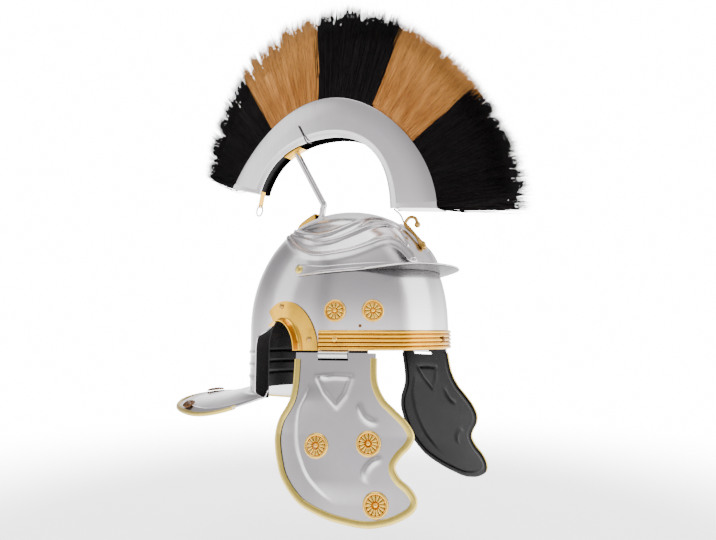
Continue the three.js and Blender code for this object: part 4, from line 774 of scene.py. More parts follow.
def make_neck_guard(context):
    """The guard's plate with its beaten edge."""
    guard = GuardForm(context.scene)
    steel_half = guard.bowl.sizes.steel / 2
    turns = 0.5 - 0.5 * np.cos(np.linspace(0, np.pi, 200))
    turns = 0.35 * turns + 0.65 * np.linspace(0, 1, 200)
    parts = np.concatenate([np.linspace(0, 0.12, 10)[:-1], np.linspace(0.12, 1, 46)])
    skin = guard.point(turns[None, :], parts[:, None])
    up = np.array((0, 0, steel_half))
    faces = grid_faces(*skin.shape[:2])
    shape = Shape().sheet(skin + up + guard.bowl.drop, skin - up + guard.bowl.drop, faces)
    shape.build("neck_guard", [steel()], "polished_steel", ["steel_bowl"])


def make_guard_trim(context):
    """Brass folded over the guard's edge."""
    guard = GuardForm(context.scene)
    brass_sheet = context.scene.helmet_brass.sheet
    half = guard.bowl.sizes.steel / 2 + SEAT
    turns = np.linspace(0.035, 0.965, 260)
    edge = guard.point(turns, np.ones_like(turns))
    inwards = unit(guard.point(turns, np.full_like(turns, 0.97)) - edge)
    outside = fold_section(guard.sizes.trim, half + brass_sheet, SEAT + brass_sheet)
    inside = fold_section(guard.sizes.trim, half, SEAT)[::-1]
    section = np.vstack([outside, inside])
    stations = edge[:, None] + inwards[:, None] * section[None, :, :1] + section[None, :, 1:] * (0, 0, 1)
    shape = Shape().sweep(stations + guard.bowl.drop)
    shape.build("neck_guard_trim", [brass("pale_brass")], "brass", ["neck_guard_trim"])


def fold_section(width, half, past, corner=9):
    """Half of a rounded fold: from one lip round the edge to the other, as inwards and up."""
    turn = np.linspace(np.pi / 2, -np.pi / 2, corner)
    bend = min(half, past + width * 0.3)
    round_part = np.stack([bend - past - np.cos(turn) * bend, np.sin(turn) * half], -1)
    lips = np.array([(width, half * 0.8), (width - half * 0.25, half * 0.97)])
    return np.vstack([lips, round_part, lips[::-1] * (1, -1)])


def make_leaves(context):
    """Cast leaves that lie on the guard's ridge, with lobes and a middle rib."""
    guard = GuardForm(context.scene)
    sizes = guard.sizes
    run = np.linspace(-1, 1, 61)
    across = np.linspace(-1, 1, 25)
    lobes = np.cos(run * np.pi * 0.5) ** 0.55 * (0.72 + 0.28 * np.abs(np.cos(run * np.pi * 2.5)))
    lobes = np.maximum(lobes, 0.06)
    rib = np.exp(-(across[None] / 0.16) ** 2) * 0.45
    vein = 0.16 * np.cos((run[:, None] * 5 + np.abs(across)[None] * 0.9) * np.pi * 2)
    swell = np.sqrt(np.maximum(1 - across[None] ** 2, 0))
    height = (0.55 + rib + vein * np.abs(across)[None]) * swell * (0.45 + 0.55 * lobes[:, None]) + 0.06
    for leaf in LEAVES:
        turn = leaf["turn"]
        part = guard.part_from_edge(turn, sizes.ridge_inset)
        here = guard.point(turn, part)
        edge = guard.point(turn, np.array(1.0))
        along = unit(guard.point(turn + 0.01, part) - guard.point(turn - 0.01, part))
        inwards = here - edge
        inwards[2] -= sizes.ridge_rise
        normal = unit(np.cross(unit(inwards), along))
        square = np.cross(normal, along)
        base = here + normal * (guard.bowl.sizes.steel / 2 + SEAT) + guard.bowl.drop
        top = (base + (run * sizes.leaf_length / 2)[:, None, None] * along
               + (across[None] * lobes[:, None] * sizes.leaf_width / 2)[..., None] * square
               + (height * sizes.leaf_rise)[..., None] * normal)
        bottom = top - (height * sizes.leaf_rise)[..., None] * normal
        shape = Shape().sheet(top, bottom, grid_faces(*top.shape[:2]))
        name = f"neck_guard_leaf_{leaf['name']}"
        shape.build(name, [brass("dark_brass")], "dark_brass", [name], sharp=60)


# Peak, brow band and ear guards

def make_peak(context):
    """Peak: two arms riveted to the bowl's sides and a flange that stands out over the brow."""
    form = BowlForm(context.scene)
    peak, steel_sheet = form.peak, form.sizes.steel
    per_degree = 0.0016
    radius = peak.lug / 2
    end = peak.rivet_around + radius / per_degree
    side = end * np.sin(np.linspace(0, np.pi / 2, 130))
    around = np.concatenate([-side[::-1], side[1:]])
    side = np.abs(around)
    past = np.clip((side - peak.rivet_around) * per_degree, 0, radius * 0.9999)
    half_end = np.sqrt(radius ** 2 - past ** 2)
    lug = ease(-18, 4, side - peak.rivet_around)
    base = form.peak_base(side)
    middle = form.peak_base(peak.rivet_around) + radius
    low = np.where(side > peak.rivet_around, middle - half_end, base)
    arm = base + peak.leg + (peak.lug - peak.leg) * lug
    top = np.where(side > peak.rivet_around, middle + half_end, arm)
    ledge = 0.0012
    stand = (ease(0, 1, (peak.flange_angle - side) / peak.flange_fade) * (peak.reach - ledge)
             + ledge * ease(0, 6, 80 - side))
    off = SEAT + FACET
    bend = 0.0022
    leg_share = np.linspace(1, 0, 9)
    lines = []
    for part in leg_share:
        thick = steel_sheet * min(1, (1.06 - part) * 9)
        lines.append(form.point(around, low + bend + (top - low - bend) * part, off + max(thick, 0.0003)))
    for turn in np.linspace(0, np.pi / 2, 5)[1:]:
        out = off + steel_sheet + np.minimum(bend, stand * 0.7) * (1 - np.cos(turn))
        lines.append(form.point(around, low + steel_sheet + (bend - steel_sheet) * (1 - np.sin(turn)), out))
    tip_lift = peak.lift * np.clip(stand / peak.reach, 0, 1)
    for part in np.linspace(0.2, 1, 9):
        out = off + steel_sheet + np.minimum(bend, stand * 0.7) * (1 - part) + (stand - steel_sheet) * part
        place = form.point(around, low, out)
        place[:, 2] = low + steel_sheet + tip_lift * part ** 1.3
        lines.append(place)
    rounded = form.point(around, low, off + stand + steel_sheet * 0.3)
    rounded[:, 2] = low + tip_lift + steel_sheet / 2
    lines.append(rounded)
    for part in np.linspace(1, 0, 9):
        place = form.point(around, low, off + (stand - steel_sheet * 0.2) * part)
        place[:, 2] = low + tip_lift * part ** 1.3
        lines.append(place)
    for part in (0.3, 0.7, 1):
        lines.append(form.point(around, low + (top - low) * part, off))
    stations = np.stack(lines, 1) + form.drop
    shape = Shape().sweep(stations)
    row = np.arange(len(shape.looks[0])) % len(lines)
    # The flange's underside takes the black paint, which is also painted shade under the peak.
    shape.looks[0] = np.where((row > 22) & (row < len(lines) - 4), 1, 0)
    shape.build("brow_peak", [steel(), paint()], "polished_steel", ["brow_peak"], sharp=50)
    for name, sign in SIDES:
        angle = -sign * peak.rivet_around
        centre, normal = form.both(angle, form.peak_base(angle) + radius)
        make_rivet(f"peak_rivet_{name}", peak.rivet_radius, peak.rivet_radius * 0.5,
                   centre + normal * (off + steel_sheet) + form.drop, normal, brass("pale_brass"))


def make_brow_band(context):
    """Ribbed band round the brow with its three rivets."""
    form = BowlForm(context.scene)
    sizes = context.scene.helmet_brass
    ribs = sizes.band_ribs
    down = np.linspace(0, 1, ribs * 12 + 1)
    swell = np.abs(np.sin(down * ribs * np.pi)) ** 0.75
    out = sizes.sheet * 0.5 + sizes.band_rib_rise * swell
    out[[0, -1]] = sizes.sheet * 0.3
    around = np.linspace(-sizes.band_half_angle, sizes.band_half_angle, 180)
    height = -form.sizes.rim_drop * down
    front = form.point(around[:, None], height[None], SEAT + FACET + out[None])
    back = form.point(around[:, None], height[None, [-1, 0]], np.full((1, 2), SEAT))
    stations = np.concatenate([front, back], 1) + form.drop
    shape = Shape().sweep(stations)
    place = np.arange(len(shape.looks[0])) % stations.shape[1]
    # Faces along the grooves between the ribs take the dark brass: painted shade in the grooves.
    groove = (place < ribs * 12) & ((place % 12 == 0) | (place % 12 == 11)) & (place > 0)
    shape.looks[0] = np.where(groove, 1, 0)
    shape.build("brow_band", [brass("brass"), brass("dark_brass")], "brass", ["brow_band"], sharp=70)
    for rivet in BAND_RIVETS:
        centre, normal = form.both(rivet["around"], -sizes.band_rivet_drop)
        lift = SEAT + FACET + sizes.sheet * 0.5 + sizes.band_rib_rise * 0.7
        finish = brass("dark_brass" if rivet["name"] == "front" else "pressed_brass")
        make_rivet(f"band_rivet_{rivet['name']}", sizes.rivet_radius, sizes.rivet_radius * 0.75,
                   centre + normal * lift + form.drop, normal, finish)


def make_ear_guards(context):
    """Crescents round the ear arches, with their inner lips flared outwards."""
    form = BowlForm(context.scene)
    bowl, sizes = form.sizes, context.scene.helmet_brass
    parts = np.linspace(0, sizes.ear_end, 90)
    turn = np.pi * (1 - parts)
    width = sizes.ear_width + (sizes.ear_rear_width - sizes.ear_width) * parts ** 2
    flat = np.linspace(1, 0, 16)
    flare = np.linspace(0, 1, 15)[1:]
    grown = np.concatenate([width[:, None] * flat[None], np.zeros((90, 14))], 1)
    shrunk = np.concatenate([np.zeros(16), sizes.ear_lip * 0.45 * np.sin(flare * np.pi / 2)])[None]
    lift = np.concatenate([np.zeros(16), sizes.ear_lip * (1 - np.cos(flare * np.pi / 2))])[None]
    inset = grown - shrunk - 0.0008
    forward = bowl.ear_centre + (bowl.ear_half + inset) * np.cos(turn)[:, None]
    height = -bowl.rim_drop + (bowl.ear_top + bowl.rim_drop + inset) * np.sin(turn)[:, None]
    around = -form.around_at(forward, height)
    point, normal = form.both(around, height)
    inner = point + (SEAT + FACET + lift)[..., None] * normal
    slope = np.concatenate([np.zeros(16), np.sin(flare * np.pi / 2) ** 2])[None, :, None]
    middle = np.array((0, bowl.ear_centre, -bowl.rim_drop))
    towards = unit((point - middle) * (0, 1, 1))
    outer = inner + sizes.sheet * unit(normal * (1 - 0.9 * slope) + towards * 0.9 * slope)
    faces = grid_faces(*inner.shape[:2])
    shape = Shape().sheet(outer + form.drop, inner + form.drop, faces)
    for name, sign in SIDES:
        made = shape if sign > 0 else shape.mirror()
        made.build(f"ear_guard_{name}", [brass("brass")], "brass", [f"ear_guard_{name}"])
        for rivet in GUARD_RIVETS:
            angle = -sign * form.around_at(rivet["forward"], rivet["height"])
            centre, out = form.both(angle, rivet["height"])
            place = centre + out * (SEAT + FACET + sizes.sheet) + form.drop
            make_rivet(f"ear_guard_rivet_{name}_{rivet['name']}", sizes.rivet_radius,
                       sizes.rivet_radius * 0.7, place, out, brass("red_brass"))


# Rosettes

def rosette_rings(radius, rise, petals, wide_rim, centre, normal):
    """A pressed disc: domed middle, petals with grooves between them and a rolled rim."""
    out = np.concatenate([np.linspace(0.004, 0.22, 9), np.linspace(0.24, 0.76, 15),
                          np.linspace(0.78, 1, 12)])
    turns = np.linspace(0, 2 * np.pi, petals * 10, endpoint=False)
    web = 0.15
    dome = np.where(out < 0.2, 0.95 * np.sqrt(np.maximum(1 - (out / 0.2) ** 2, 0)) + web, web)
    rim_at, rim_half = (0.86, 0.13) if wide_rim else (0.89, 0.1)
    rim = 0.75 * np.sqrt(np.maximum(1 - ((out - rim_at) / rim_half) ** 2, 0))
    ring = 0.3 * np.exp(-((out - 0.3) / 0.035) ** 2) if wide_rim else 0
    base = np.maximum(dome, rim + web) + ring
    body = ease(0.22, 0.32, out) * (1 - ease(0.66, 0.76, out))
    groove = np.abs(np.cos(turns * petals / 2)) ** 0.35
    height = base[:, None] + 0.62 * body[:, None] * groove[None]
    height[out > 0.985] = 0
    side, other, front = disc_frame(normal)
    flat = ring_about(turns, side, other) * (out * radius)[:, None, None]
    return centre + flat[::-1] + (height * rise)[::-1][..., None] * front


def rosette_shape(rings, petals):
    """The disc, with painted shade: darker brass on the faces in the grooves between its petals."""
    shape = Shape().sweep(rings)
    index = np.arange(len(shape.looks[0]))
    ring, turn = index // (petals * 10), index % 10
    # Faces in the grooves between the petals take the dark brass as painted shade.
    groove_shade = (turn == 4) | (turn == 5)
    total = len(rings)
    shape.looks[0] = np.where(groove_shade & (ring > total * 0.34) & (ring < total * 0.74), 1, 0)
    return shape


def make_rosettes(context):
    """The bowl's four rosettes and its two small nails."""
    form = BowlForm(context.scene)
    sizes = context.scene.helmet_rosettes
    for name, sign in SIDES:
        for rosette in BOWL_ROSETTES:
            centre, normal = form.both(-sign * rosette["around"], sizes.bowl_height)
            rings = rosette_rings(sizes.bowl_radius, sizes.rise, sizes.bowl_petals, False,
                                  centre + normal * SEAT + form.drop, normal)
            label = f"bowl_rosette_{name}_{rosette['name']}"
            shape = rosette_shape(rings, sizes.bowl_petals)
            # The dark brass here is the painted shade in the petals' grooves.
            shape.build(label, [brass("pressed_brass"), brass("dark_brass")], "brass", [label], sharp=60)
        centre, normal = form.both(-sign * BOWL_NAIL["around"], BOWL_NAIL["height"])
        radius = context.scene.helmet_brass.nail_radius
        make_rivet(f"bowl_nail_{name}", radius, radius * 0.7, centre + normal * SEAT + form.drop, normal,
                   brass("dark_brass"), "dark_brass")


# Cheek pieces

class CheekForm:
    """The right cheek piece about its hinge: x to the front, y up and z out of its plane."""

    def __init__(self, scene):
        self.sizes = scene.helmet_cheek
        self.bowl = BowlForm(scene)
        sizes = self.sizes
        splay = math.radians(sizes.splay)
        self.forward = np.array((math.sin(splay), -math.cos(splay), 0))
        self.out = np.array((-math.cos(splay), -math.sin(splay), 0))
        drop = self.bowl.sizes.rim_drop + SEAT + sizes.hinge_bore + 0.001
        self.hinge = np.array((-sizes.offset, sizes.setback, -drop)) + self.bowl.drop
        front = [(row["front"], row["down"]) for row in CHEEK_SECTIONS]
        rear = [(row["rear"], row["down"]) for row in CHEEK_SECTIONS[::-1]]
        self.outline = smooth_line([*front, (0.372, 1.004), *rear], 900)
        lowest = int(self.outline[:, 1].argmax())
        self.front_line = self.outline[:lowest + 1]
        self.rear_line = self.outline[lowest:][::-1]
        self.crease = smooth_line([(row["along"], row["down"]) for row in CHEEK_CREASE], 60)

    def place(self, local, flared=True):
        """From the hinge's own directions into the helmet's."""
        lean = math.radians(self.sizes.flare) if flared else 0
        x, y, z = local[..., 0], local[..., 1], local[..., 2]
        up = y * math.cos(lean) + z * math.sin(lean)
        out = -y * math.sin(lean) + z * math.cos(lean)
        across = x[..., None] * self.forward + out[..., None] * self.out
        return self.hinge + across + up[..., None] * (0, 0, 1)

    def flat(self, along, down):
        sizes = self.sizes
        return along * sizes.width, sizes.hinge_bar / 2 - down * sizes.length

    def face(self, x, y):
        sizes = self.sizes
        middle = (x / sizes.width - 0.18) / 0.5
        down = (sizes.hinge_bar / 2 - y) / sizes.length
        return -sizes.dish * middle * middle * np.clip(down * 2, 0, 1) - sizes.steel / 2

    def relief(self, x, y):
        """Height of the embossing over the dished face."""
        sizes = self.sizes
        here = stack(x, y)
        scale = np.array((sizes.width, -sizes.length))
        origin = np.array((0, sizes.hinge_bar / 2))
        rise = np.zeros(here.shape[:-1])
        corners = np.array([(row["along"], row["down"]) for row in CHEEK_TRIANGLE]) * scale + origin
        gap = distance_to(here, np.vstack([corners, corners[:1]]))
        rise += sizes.emboss_rise * np.exp(-(gap / 0.0017) ** 2)
        for rows in CHEEK_DIMPLES:
            line = smooth_line([(row["along"], row["down"]) for row in rows], 24) * scale + origin
            gap = distance_to(here, line)
            run = np.linalg.norm(here - line[len(line) // 2], axis=-1)
            rise += 0.0015 * np.exp(-(gap / 0.0022) ** 2) * (1 - ease(0.006, 0.014, run))
        line = self.crease * scale + origin
        gap = distance_to(here, line)
        crease_x = np.interp(y, line[::-1, 1], line[::-1, 0])
        front_side = x > crease_x
        fade = ease(0.0, 0.02, y - line[-1, 1]) * ease(0, 0.016, line[0, 1] - y + 0.008)
        panel = np.where(front_side, np.exp(-gap / 0.018), 1 - ease(0, 0.0026, gap))
        return rise + sizes.crease_rise * panel * fade

    def edge(self, skip):
        """The edge from the front top corner round the chin to the rear one, as flat places."""
        keep = self.outline[self.outline[:, 1] > skip]
        x, y = self.flat(keep[:, 0], keep[:, 1])
        return smooth_line(np.stack([x, y], -1)[::6], 300)

    def on_face(self, along, down, lift):
        """A place on the outer face and the direction square to it."""
        x, y = self.flat(along, down)
        step = 0.001
        slope_x = (self.face(x + step, y) - self.face(x - step, y)) / (2 * step)
        slope_y = (self.face(x, y + step) - self.face(x, y - step)) / (2 * step)
        normal = unit(np.array((-slope_x, -slope_y, 1)))
        local = np.array((x, y, self.face(x, y))) + normal * (self.sizes.steel + lift)
        return self.place(local), self.place(local + normal) - self.place(local)


def cheek_plate(form, steel_look, paint_look):
    sizes = form.sizes
    lowest = form.front_line[-1, 1] - 1e-5
    down = np.sin(np.linspace(0, np.pi / 2, 132)) * lowest
    front = np.interp(down, form.front_line[:, 1], form.front_line[:, 0])
    rear = np.interp(down, form.rear_line[:, 1], form.rear_line[:, 0])
    across = np.linspace(0, 1, 82)
    along = rear[:, None] + (front - rear)[:, None] * across[None]
    x, y = form.flat(along, down[:, None])
    face = form.face(x, y)
    rise = form.relief(x, y)
    rim = np.minimum(x - x[:, :1], x[:, -1:] - x)
    rise = rise * ease(0.001, 0.007, rim)
    outer = form.place(stack(x, y, face + sizes.steel + rise))
    inner = form.place(stack(x, y, face + rise * 0.9))
    return Shape().sheet(outer, inner, grid_faces(*x.shape), (steel_look, paint_look, steel_look))


def cut_slot(piece, form, sign):
    """Cuts the hinge's slot through the plate."""
    sizes = form.sizes
    half = sizes.hinge_width / 2 + 0.0007
    x = np.array((-half, half)) + sizes.hinge_along
    y = np.array((-sizes.hinge_bar / 2 - sizes.hinge_slot, -sizes.hinge_bar / 2))
    corners = np.array([(a, b, c) for c in (-0.02, 0.02) for b in y for a in x])
    place = form.place(corners) * (sign, 1, 1)
    faces = [(0, 1, 3, 2), (4, 6, 7, 5), (0, 4, 5, 1), (2, 3, 7, 6), (0, 2, 6, 4), (1, 5, 7, 3)]
    mesh = bpy.data.meshes.new("slot_cutter")
    mesh.from_pydata(place.tolist(), [], faces)
    face_outwards(mesh)
    cutter = add_object("slot_cutter", mesh)
    cut = piece.modifiers.new("slot", "BOOLEAN")
    cut.object = cutter
    cut.operation = "DIFFERENCE"
    cut.solver = "EXACT"
    bpy.context.view_layer.update()
    graph = bpy.context.evaluated_depsgraph_get()
    made = bpy.data.meshes.new_from_object(piece.evaluated_get(graph))
    piece.modifiers.remove(cut)
    piece.data = made
    bpy.data.objects.remove(cutter)


def make_cheek_pieces(context):
    """Both cheek plates with their bindings, rosettes and hinge straps."""
    form = CheekForm(context.scene)
    sizes, brass_sheet = form.sizes, context.scene.helmet_brass.sheet
    rosettes = context.scene.helmet_rosettes
    plate = cheek_plate(form, 0, 1)
    edge = form.edge(0.03)
    forward = unit(np.gradient(edge, axis=0))
    inwards = stack(forward[:, 1], -forward[:, 0])
    half = sizes.steel / 2 + SEAT + FACET / 2
    outside = fold_section(sizes.binding, half + brass_sheet * 1.1, SEAT + brass_sheet, 13)
    inside = fold_section(sizes.binding, half, SEAT, 13)[::-1]
    section = np.vstack([outside, inside])
    flat = edge[:, None] + inwards[:, None] * section[None, :, :1]
    height = form.face(flat[..., 0], flat[..., 1]) + sizes.steel / 2 + section[None, :, 1]
    binding = Shape().sweep(form.place(stack(flat[..., 0], flat[..., 1], height)))
    binding.looks[0] = np.where(np.arange(len(binding.looks[0])) % len(section) > len(outside) // 2, 1, 0)
    strap = hinge_strap(form)
    for name, sign in SIDES:
        body = f"{name}_cheek"
        handed = (lambda shape: shape) if sign > 0 else Shape.mirror
        piece = handed(plate).build(f"cheek_piece_{name}", [steel(), paint()], "polished_steel",
                                    [f"cheek_piece_{name}"], body)
        cut_slot(piece, form, sign)
        handed(binding).build(f"cheek_binding_{name}", [brass("pale_brass"), paint()], "pale_brass",
                              [f"cheek_binding_{name}"], body, sharp=50)
        for rosette in CHEEK_ROSETTES:
            centre, normal = form.on_face(rosette["along"], rosette["down"], SEAT)
            rings = rosette_rings(rosettes.cheek_radius, rosettes.rise, rosettes.cheek_petals, True,
                                  centre, normal)
            label = f"cheek_rosette_{name}_{rosette['name']}"
            disc = handed(rosette_shape(rings, rosettes.cheek_petals))
            # The dark brass here is the painted shade in the petals' grooves.
            finishes = [brass("pressed_brass"), brass("dark_brass")]
            disc.build(label, finishes, "brass", [label], body, sharp=60)
        handed(strap).build(f"hinge_strap_{name}", [steel()], "polished_steel", [f"hinge_strap_{name}"])


def hinge_strap(form):
    """A strap from inside the rim, looped round the cheek's top bar."""
    sizes, bowl = form.sizes, form.bowl
    bore, loop = sizes.hinge_bore, sizes.hinge_bore + 0.001
    around = np.linspace(0, 120, 240)
    wall = bowl.point(around, 0.0, np.full(240, -bowl.sizes.steel)) * (-1, 1, 1)
    away = wall - (form.hinge * (1, 1, 0))
    near = np.abs(away @ form.forward - sizes.hinge_along) <= sizes.hinge_width / 2 + 0.001
    face = (away @ form.out)[near].min() - SEAT - FACET
    turns = np.radians(np.linspace(150, -180, 40))
    outer = np.stack([np.cos(turns), np.sin(turns)], -1) * loop
    inner = np.stack([np.cos(turns), np.sin(turns)], -1)[::-1] * bore
    end, back = loop + sizes.hinge_leaf, face - 0.001
    leaf = [(back, loop), (back, end), (face, end), (face, loop)]
    section = np.vstack([outer, leaf, inner])
    along = sizes.hinge_along + np.array((-0.5, -0.48, 0.48, 0.5)) * sizes.hinge_width
    local = stack(along[:, None], section[None, :, 1], section[None, :, 0])
    return ribbon_solid(form.place(local, flared=False))


def ribbon_solid(stations):
    """A bent strip whose end faces are closed between its outer and inner lines."""
    rows, columns = stations.shape[:2]
    shape = Shape()
    shape.belt(stations)
    half = columns // 2
    for row in (0, rows - 1):
        start = row * columns
        last = start + columns - 1
        pairs = [(start + k, start + k + 1, last - 1 - k, last - k) for k in range(half - 1)]
        shape.faces.append(np.array(pairs))
        shape.looks.append(np.zeros(len(pairs)))
    return shape


# Crest

class CrestForm:
    """The crest box's arc: angles run from its rear end over the top to its front end."""

    def __init__(self, scene):
        self.sizes = scene.helmet_crest
        self.bowl = BowlForm(scene)

    def edges(self, angle):
        sizes = self.sizes
        turn = np.radians(angle)
        bulge = sizes.shoulder * np.cos(4 * (turn - np.pi / 2))
        zero = np.zeros_like(turn)
        inner = stack(zero, sizes.centre + (sizes.inner_radius - bulge) * np.cos(turn),
                      sizes.inner_height + (sizes.inner_radius - bulge) * np.sin(turn))
        outer = stack(zero, sizes.centre + (sizes.outer_radius + bulge) * np.cos(turn),
                      sizes.outer_height + (sizes.outer_radius + bulge) * np.sin(turn))
        return inner, outer

    def point(self, angle, part, x=0.0):
        """A share of the way from the inner edge to the outer one, at a distance to the side."""
        inner, outer = self.edges(np.asarray(angle, float))
        point = inner + (outer - inner) * np.asarray(part, float)[..., None]
        return point + np.asarray(x, float)[..., None] * (1, 0, 0)

    def depth(self, angle, depth, x=0.0):
        """A distance outwards from the inner edge, at a distance to the side."""
        inner, outer = self.edges(np.asarray(angle, float))
        width = np.linalg.norm(outer - inner, axis=-1)
        return self.point(angle, depth / width, x)

    def width(self, angle):
        inner, outer = self.edges(np.asarray(angle, float))
        return np.linalg.norm(outer - inner, axis=-1)

    def tip(self, angle, reach):
        turn = np.radians(angle + read(HAIR_TIPS, "angle", "lean", angle))
        far = read(HAIR_TIPS, "angle", "reach", angle) * reach
        away = stack(np.zeros_like(turn), far * np.cos(turn), far * np.sin(turn))
        return self.point(angle, np.ones_like(angle)) + away


def make_crest_box(context):
    """The bent steel channel, open along its outer edge, with a bevelled inner border and hemmed ends."""
    crest = CrestForm(context.scene)
    sizes, drop = crest.sizes, crest.bowl.drop
    half = sizes.thickness / 2
    lip = half - sizes.bevel
    sheet = sizes.sheet
    full = crest.width(90.0)
    side = [
        (0.0, lip - 0.0004), (0.0004, lip), (sizes.border * 0.5, lip + sizes.bevel * 0.4),
        (sizes.border - 0.0006, half - 0.0005), (sizes.border, half), (full * 0.5, half),
        (full - 0.0008, half), (full, half - 0.0003), (full, half - sheet),
        (sizes.floor + sheet, half - sheet),
    ]
    side = np.array(side)
    other = side[::-1] * (1, -1)
    under = np.array([(0.0, -lip + sheet), (sizes.floor, -lip + sheet - sizes.bevel / 2),
                      (sizes.floor, lip - sheet + sizes.bevel / 2), (0.0, lip - sheet)])
    section = np.vstack([side, other, under])
    angles = np.linspace(sizes.rear_angle, sizes.front_angle, 240)
    share_of = section[:, 0] / full
    stations = crest.point(angles[:, None], share_of[None], section[None, :, 1]) + drop
    shape = Shape()
    shape.belt(stations)
    count = len(section)
    shape.looks[0] = np.where(np.arange(len(shape.faces[0])) % count >= count - 4, 1, 0)
    for row in (0, len(angles) - 1):
        end_face(shape, stations, row, len(side))
    for angle, sign in ((sizes.rear_angle, 1), (sizes.front_angle, -1)):
        crest_end(shape, crest, angle, sign, drop)
    shape.build("crest_box", [steel(), paint()], "polished_steel", ["crest_box"], sharp=35)
    thick, inner = 0.0005, sizes.border * 0.4
    flat = np.array([(inner, lip + 0.0004), (sizes.border, half), (full, half),
                     (full, half + thick), (sizes.border, half + thick), (inner, lip + 0.0010)])
    hem_ends = ((sizes.front_angle - 2.6, sizes.front_angle), (sizes.rear_angle, sizes.rear_angle + 2.2))
    for name, side_sign in SIDES:
        hem = Shape()
        for start, end in hem_ends:
            steps = np.linspace(start, end, 8)[:, None]
            hem.sweep(crest.point(steps, (flat[:, 0] / full)[None], -side_sign * flat[None, :, 1]) + drop)
        hem.build(f"crest_hem_{name}", [steel()], "polished_steel")


def end_face(shape, stations, row, count):
    """Closes the channel's cut end between its outer and inner lines."""
    middle = stations[row]
    first = shape.count
    shape.points.append(middle)
    shape.count += len(middle)
    total = len(middle)
    quads = []
    for k in range(4, 7):
        quads.append((first + k, first + k + 1, first + count - 2, first + count - 1))
        quads.append((first + total - 5 - k, first + total - 6 - k, first + count + 1, first + count))
    shape.faces.append(np.array(quads))
    shape.looks.append(np.zeros(len(quads)))


def crest_end(shape, crest, angle, sign, drop):
    """A plate across the channel's end."""
    sizes = crest.sizes
    half = sizes.thickness / 2 - sizes.sheet * 0.5
    thin = sign * math.degrees(sizes.sheet / sizes.outer_radius)
    depths = np.linspace(sizes.floor, float(crest.width(angle)), 8)
    across = np.linspace(-half, half, 6)
    front = crest.depth(angle, depths[:, None], across[None]) + drop
    back = crest.depth(angle + thin, depths[:, None], across[None]) + drop
    shape.sheet(front, back, grid_faces(8, 6))


def make_plume(context):
    """Five bands of horsehair: a dense core and thousands of strands, gathered into locks."""
    crest = CrestForm(context.scene)
    start = crest.sizes.rear_angle
    for k, band in enumerate(PLUME_BANDS):
        plume_band(context, crest, start, band, np.random.default_rng(PLUME_SEED + k))
        start = band["up_to"]


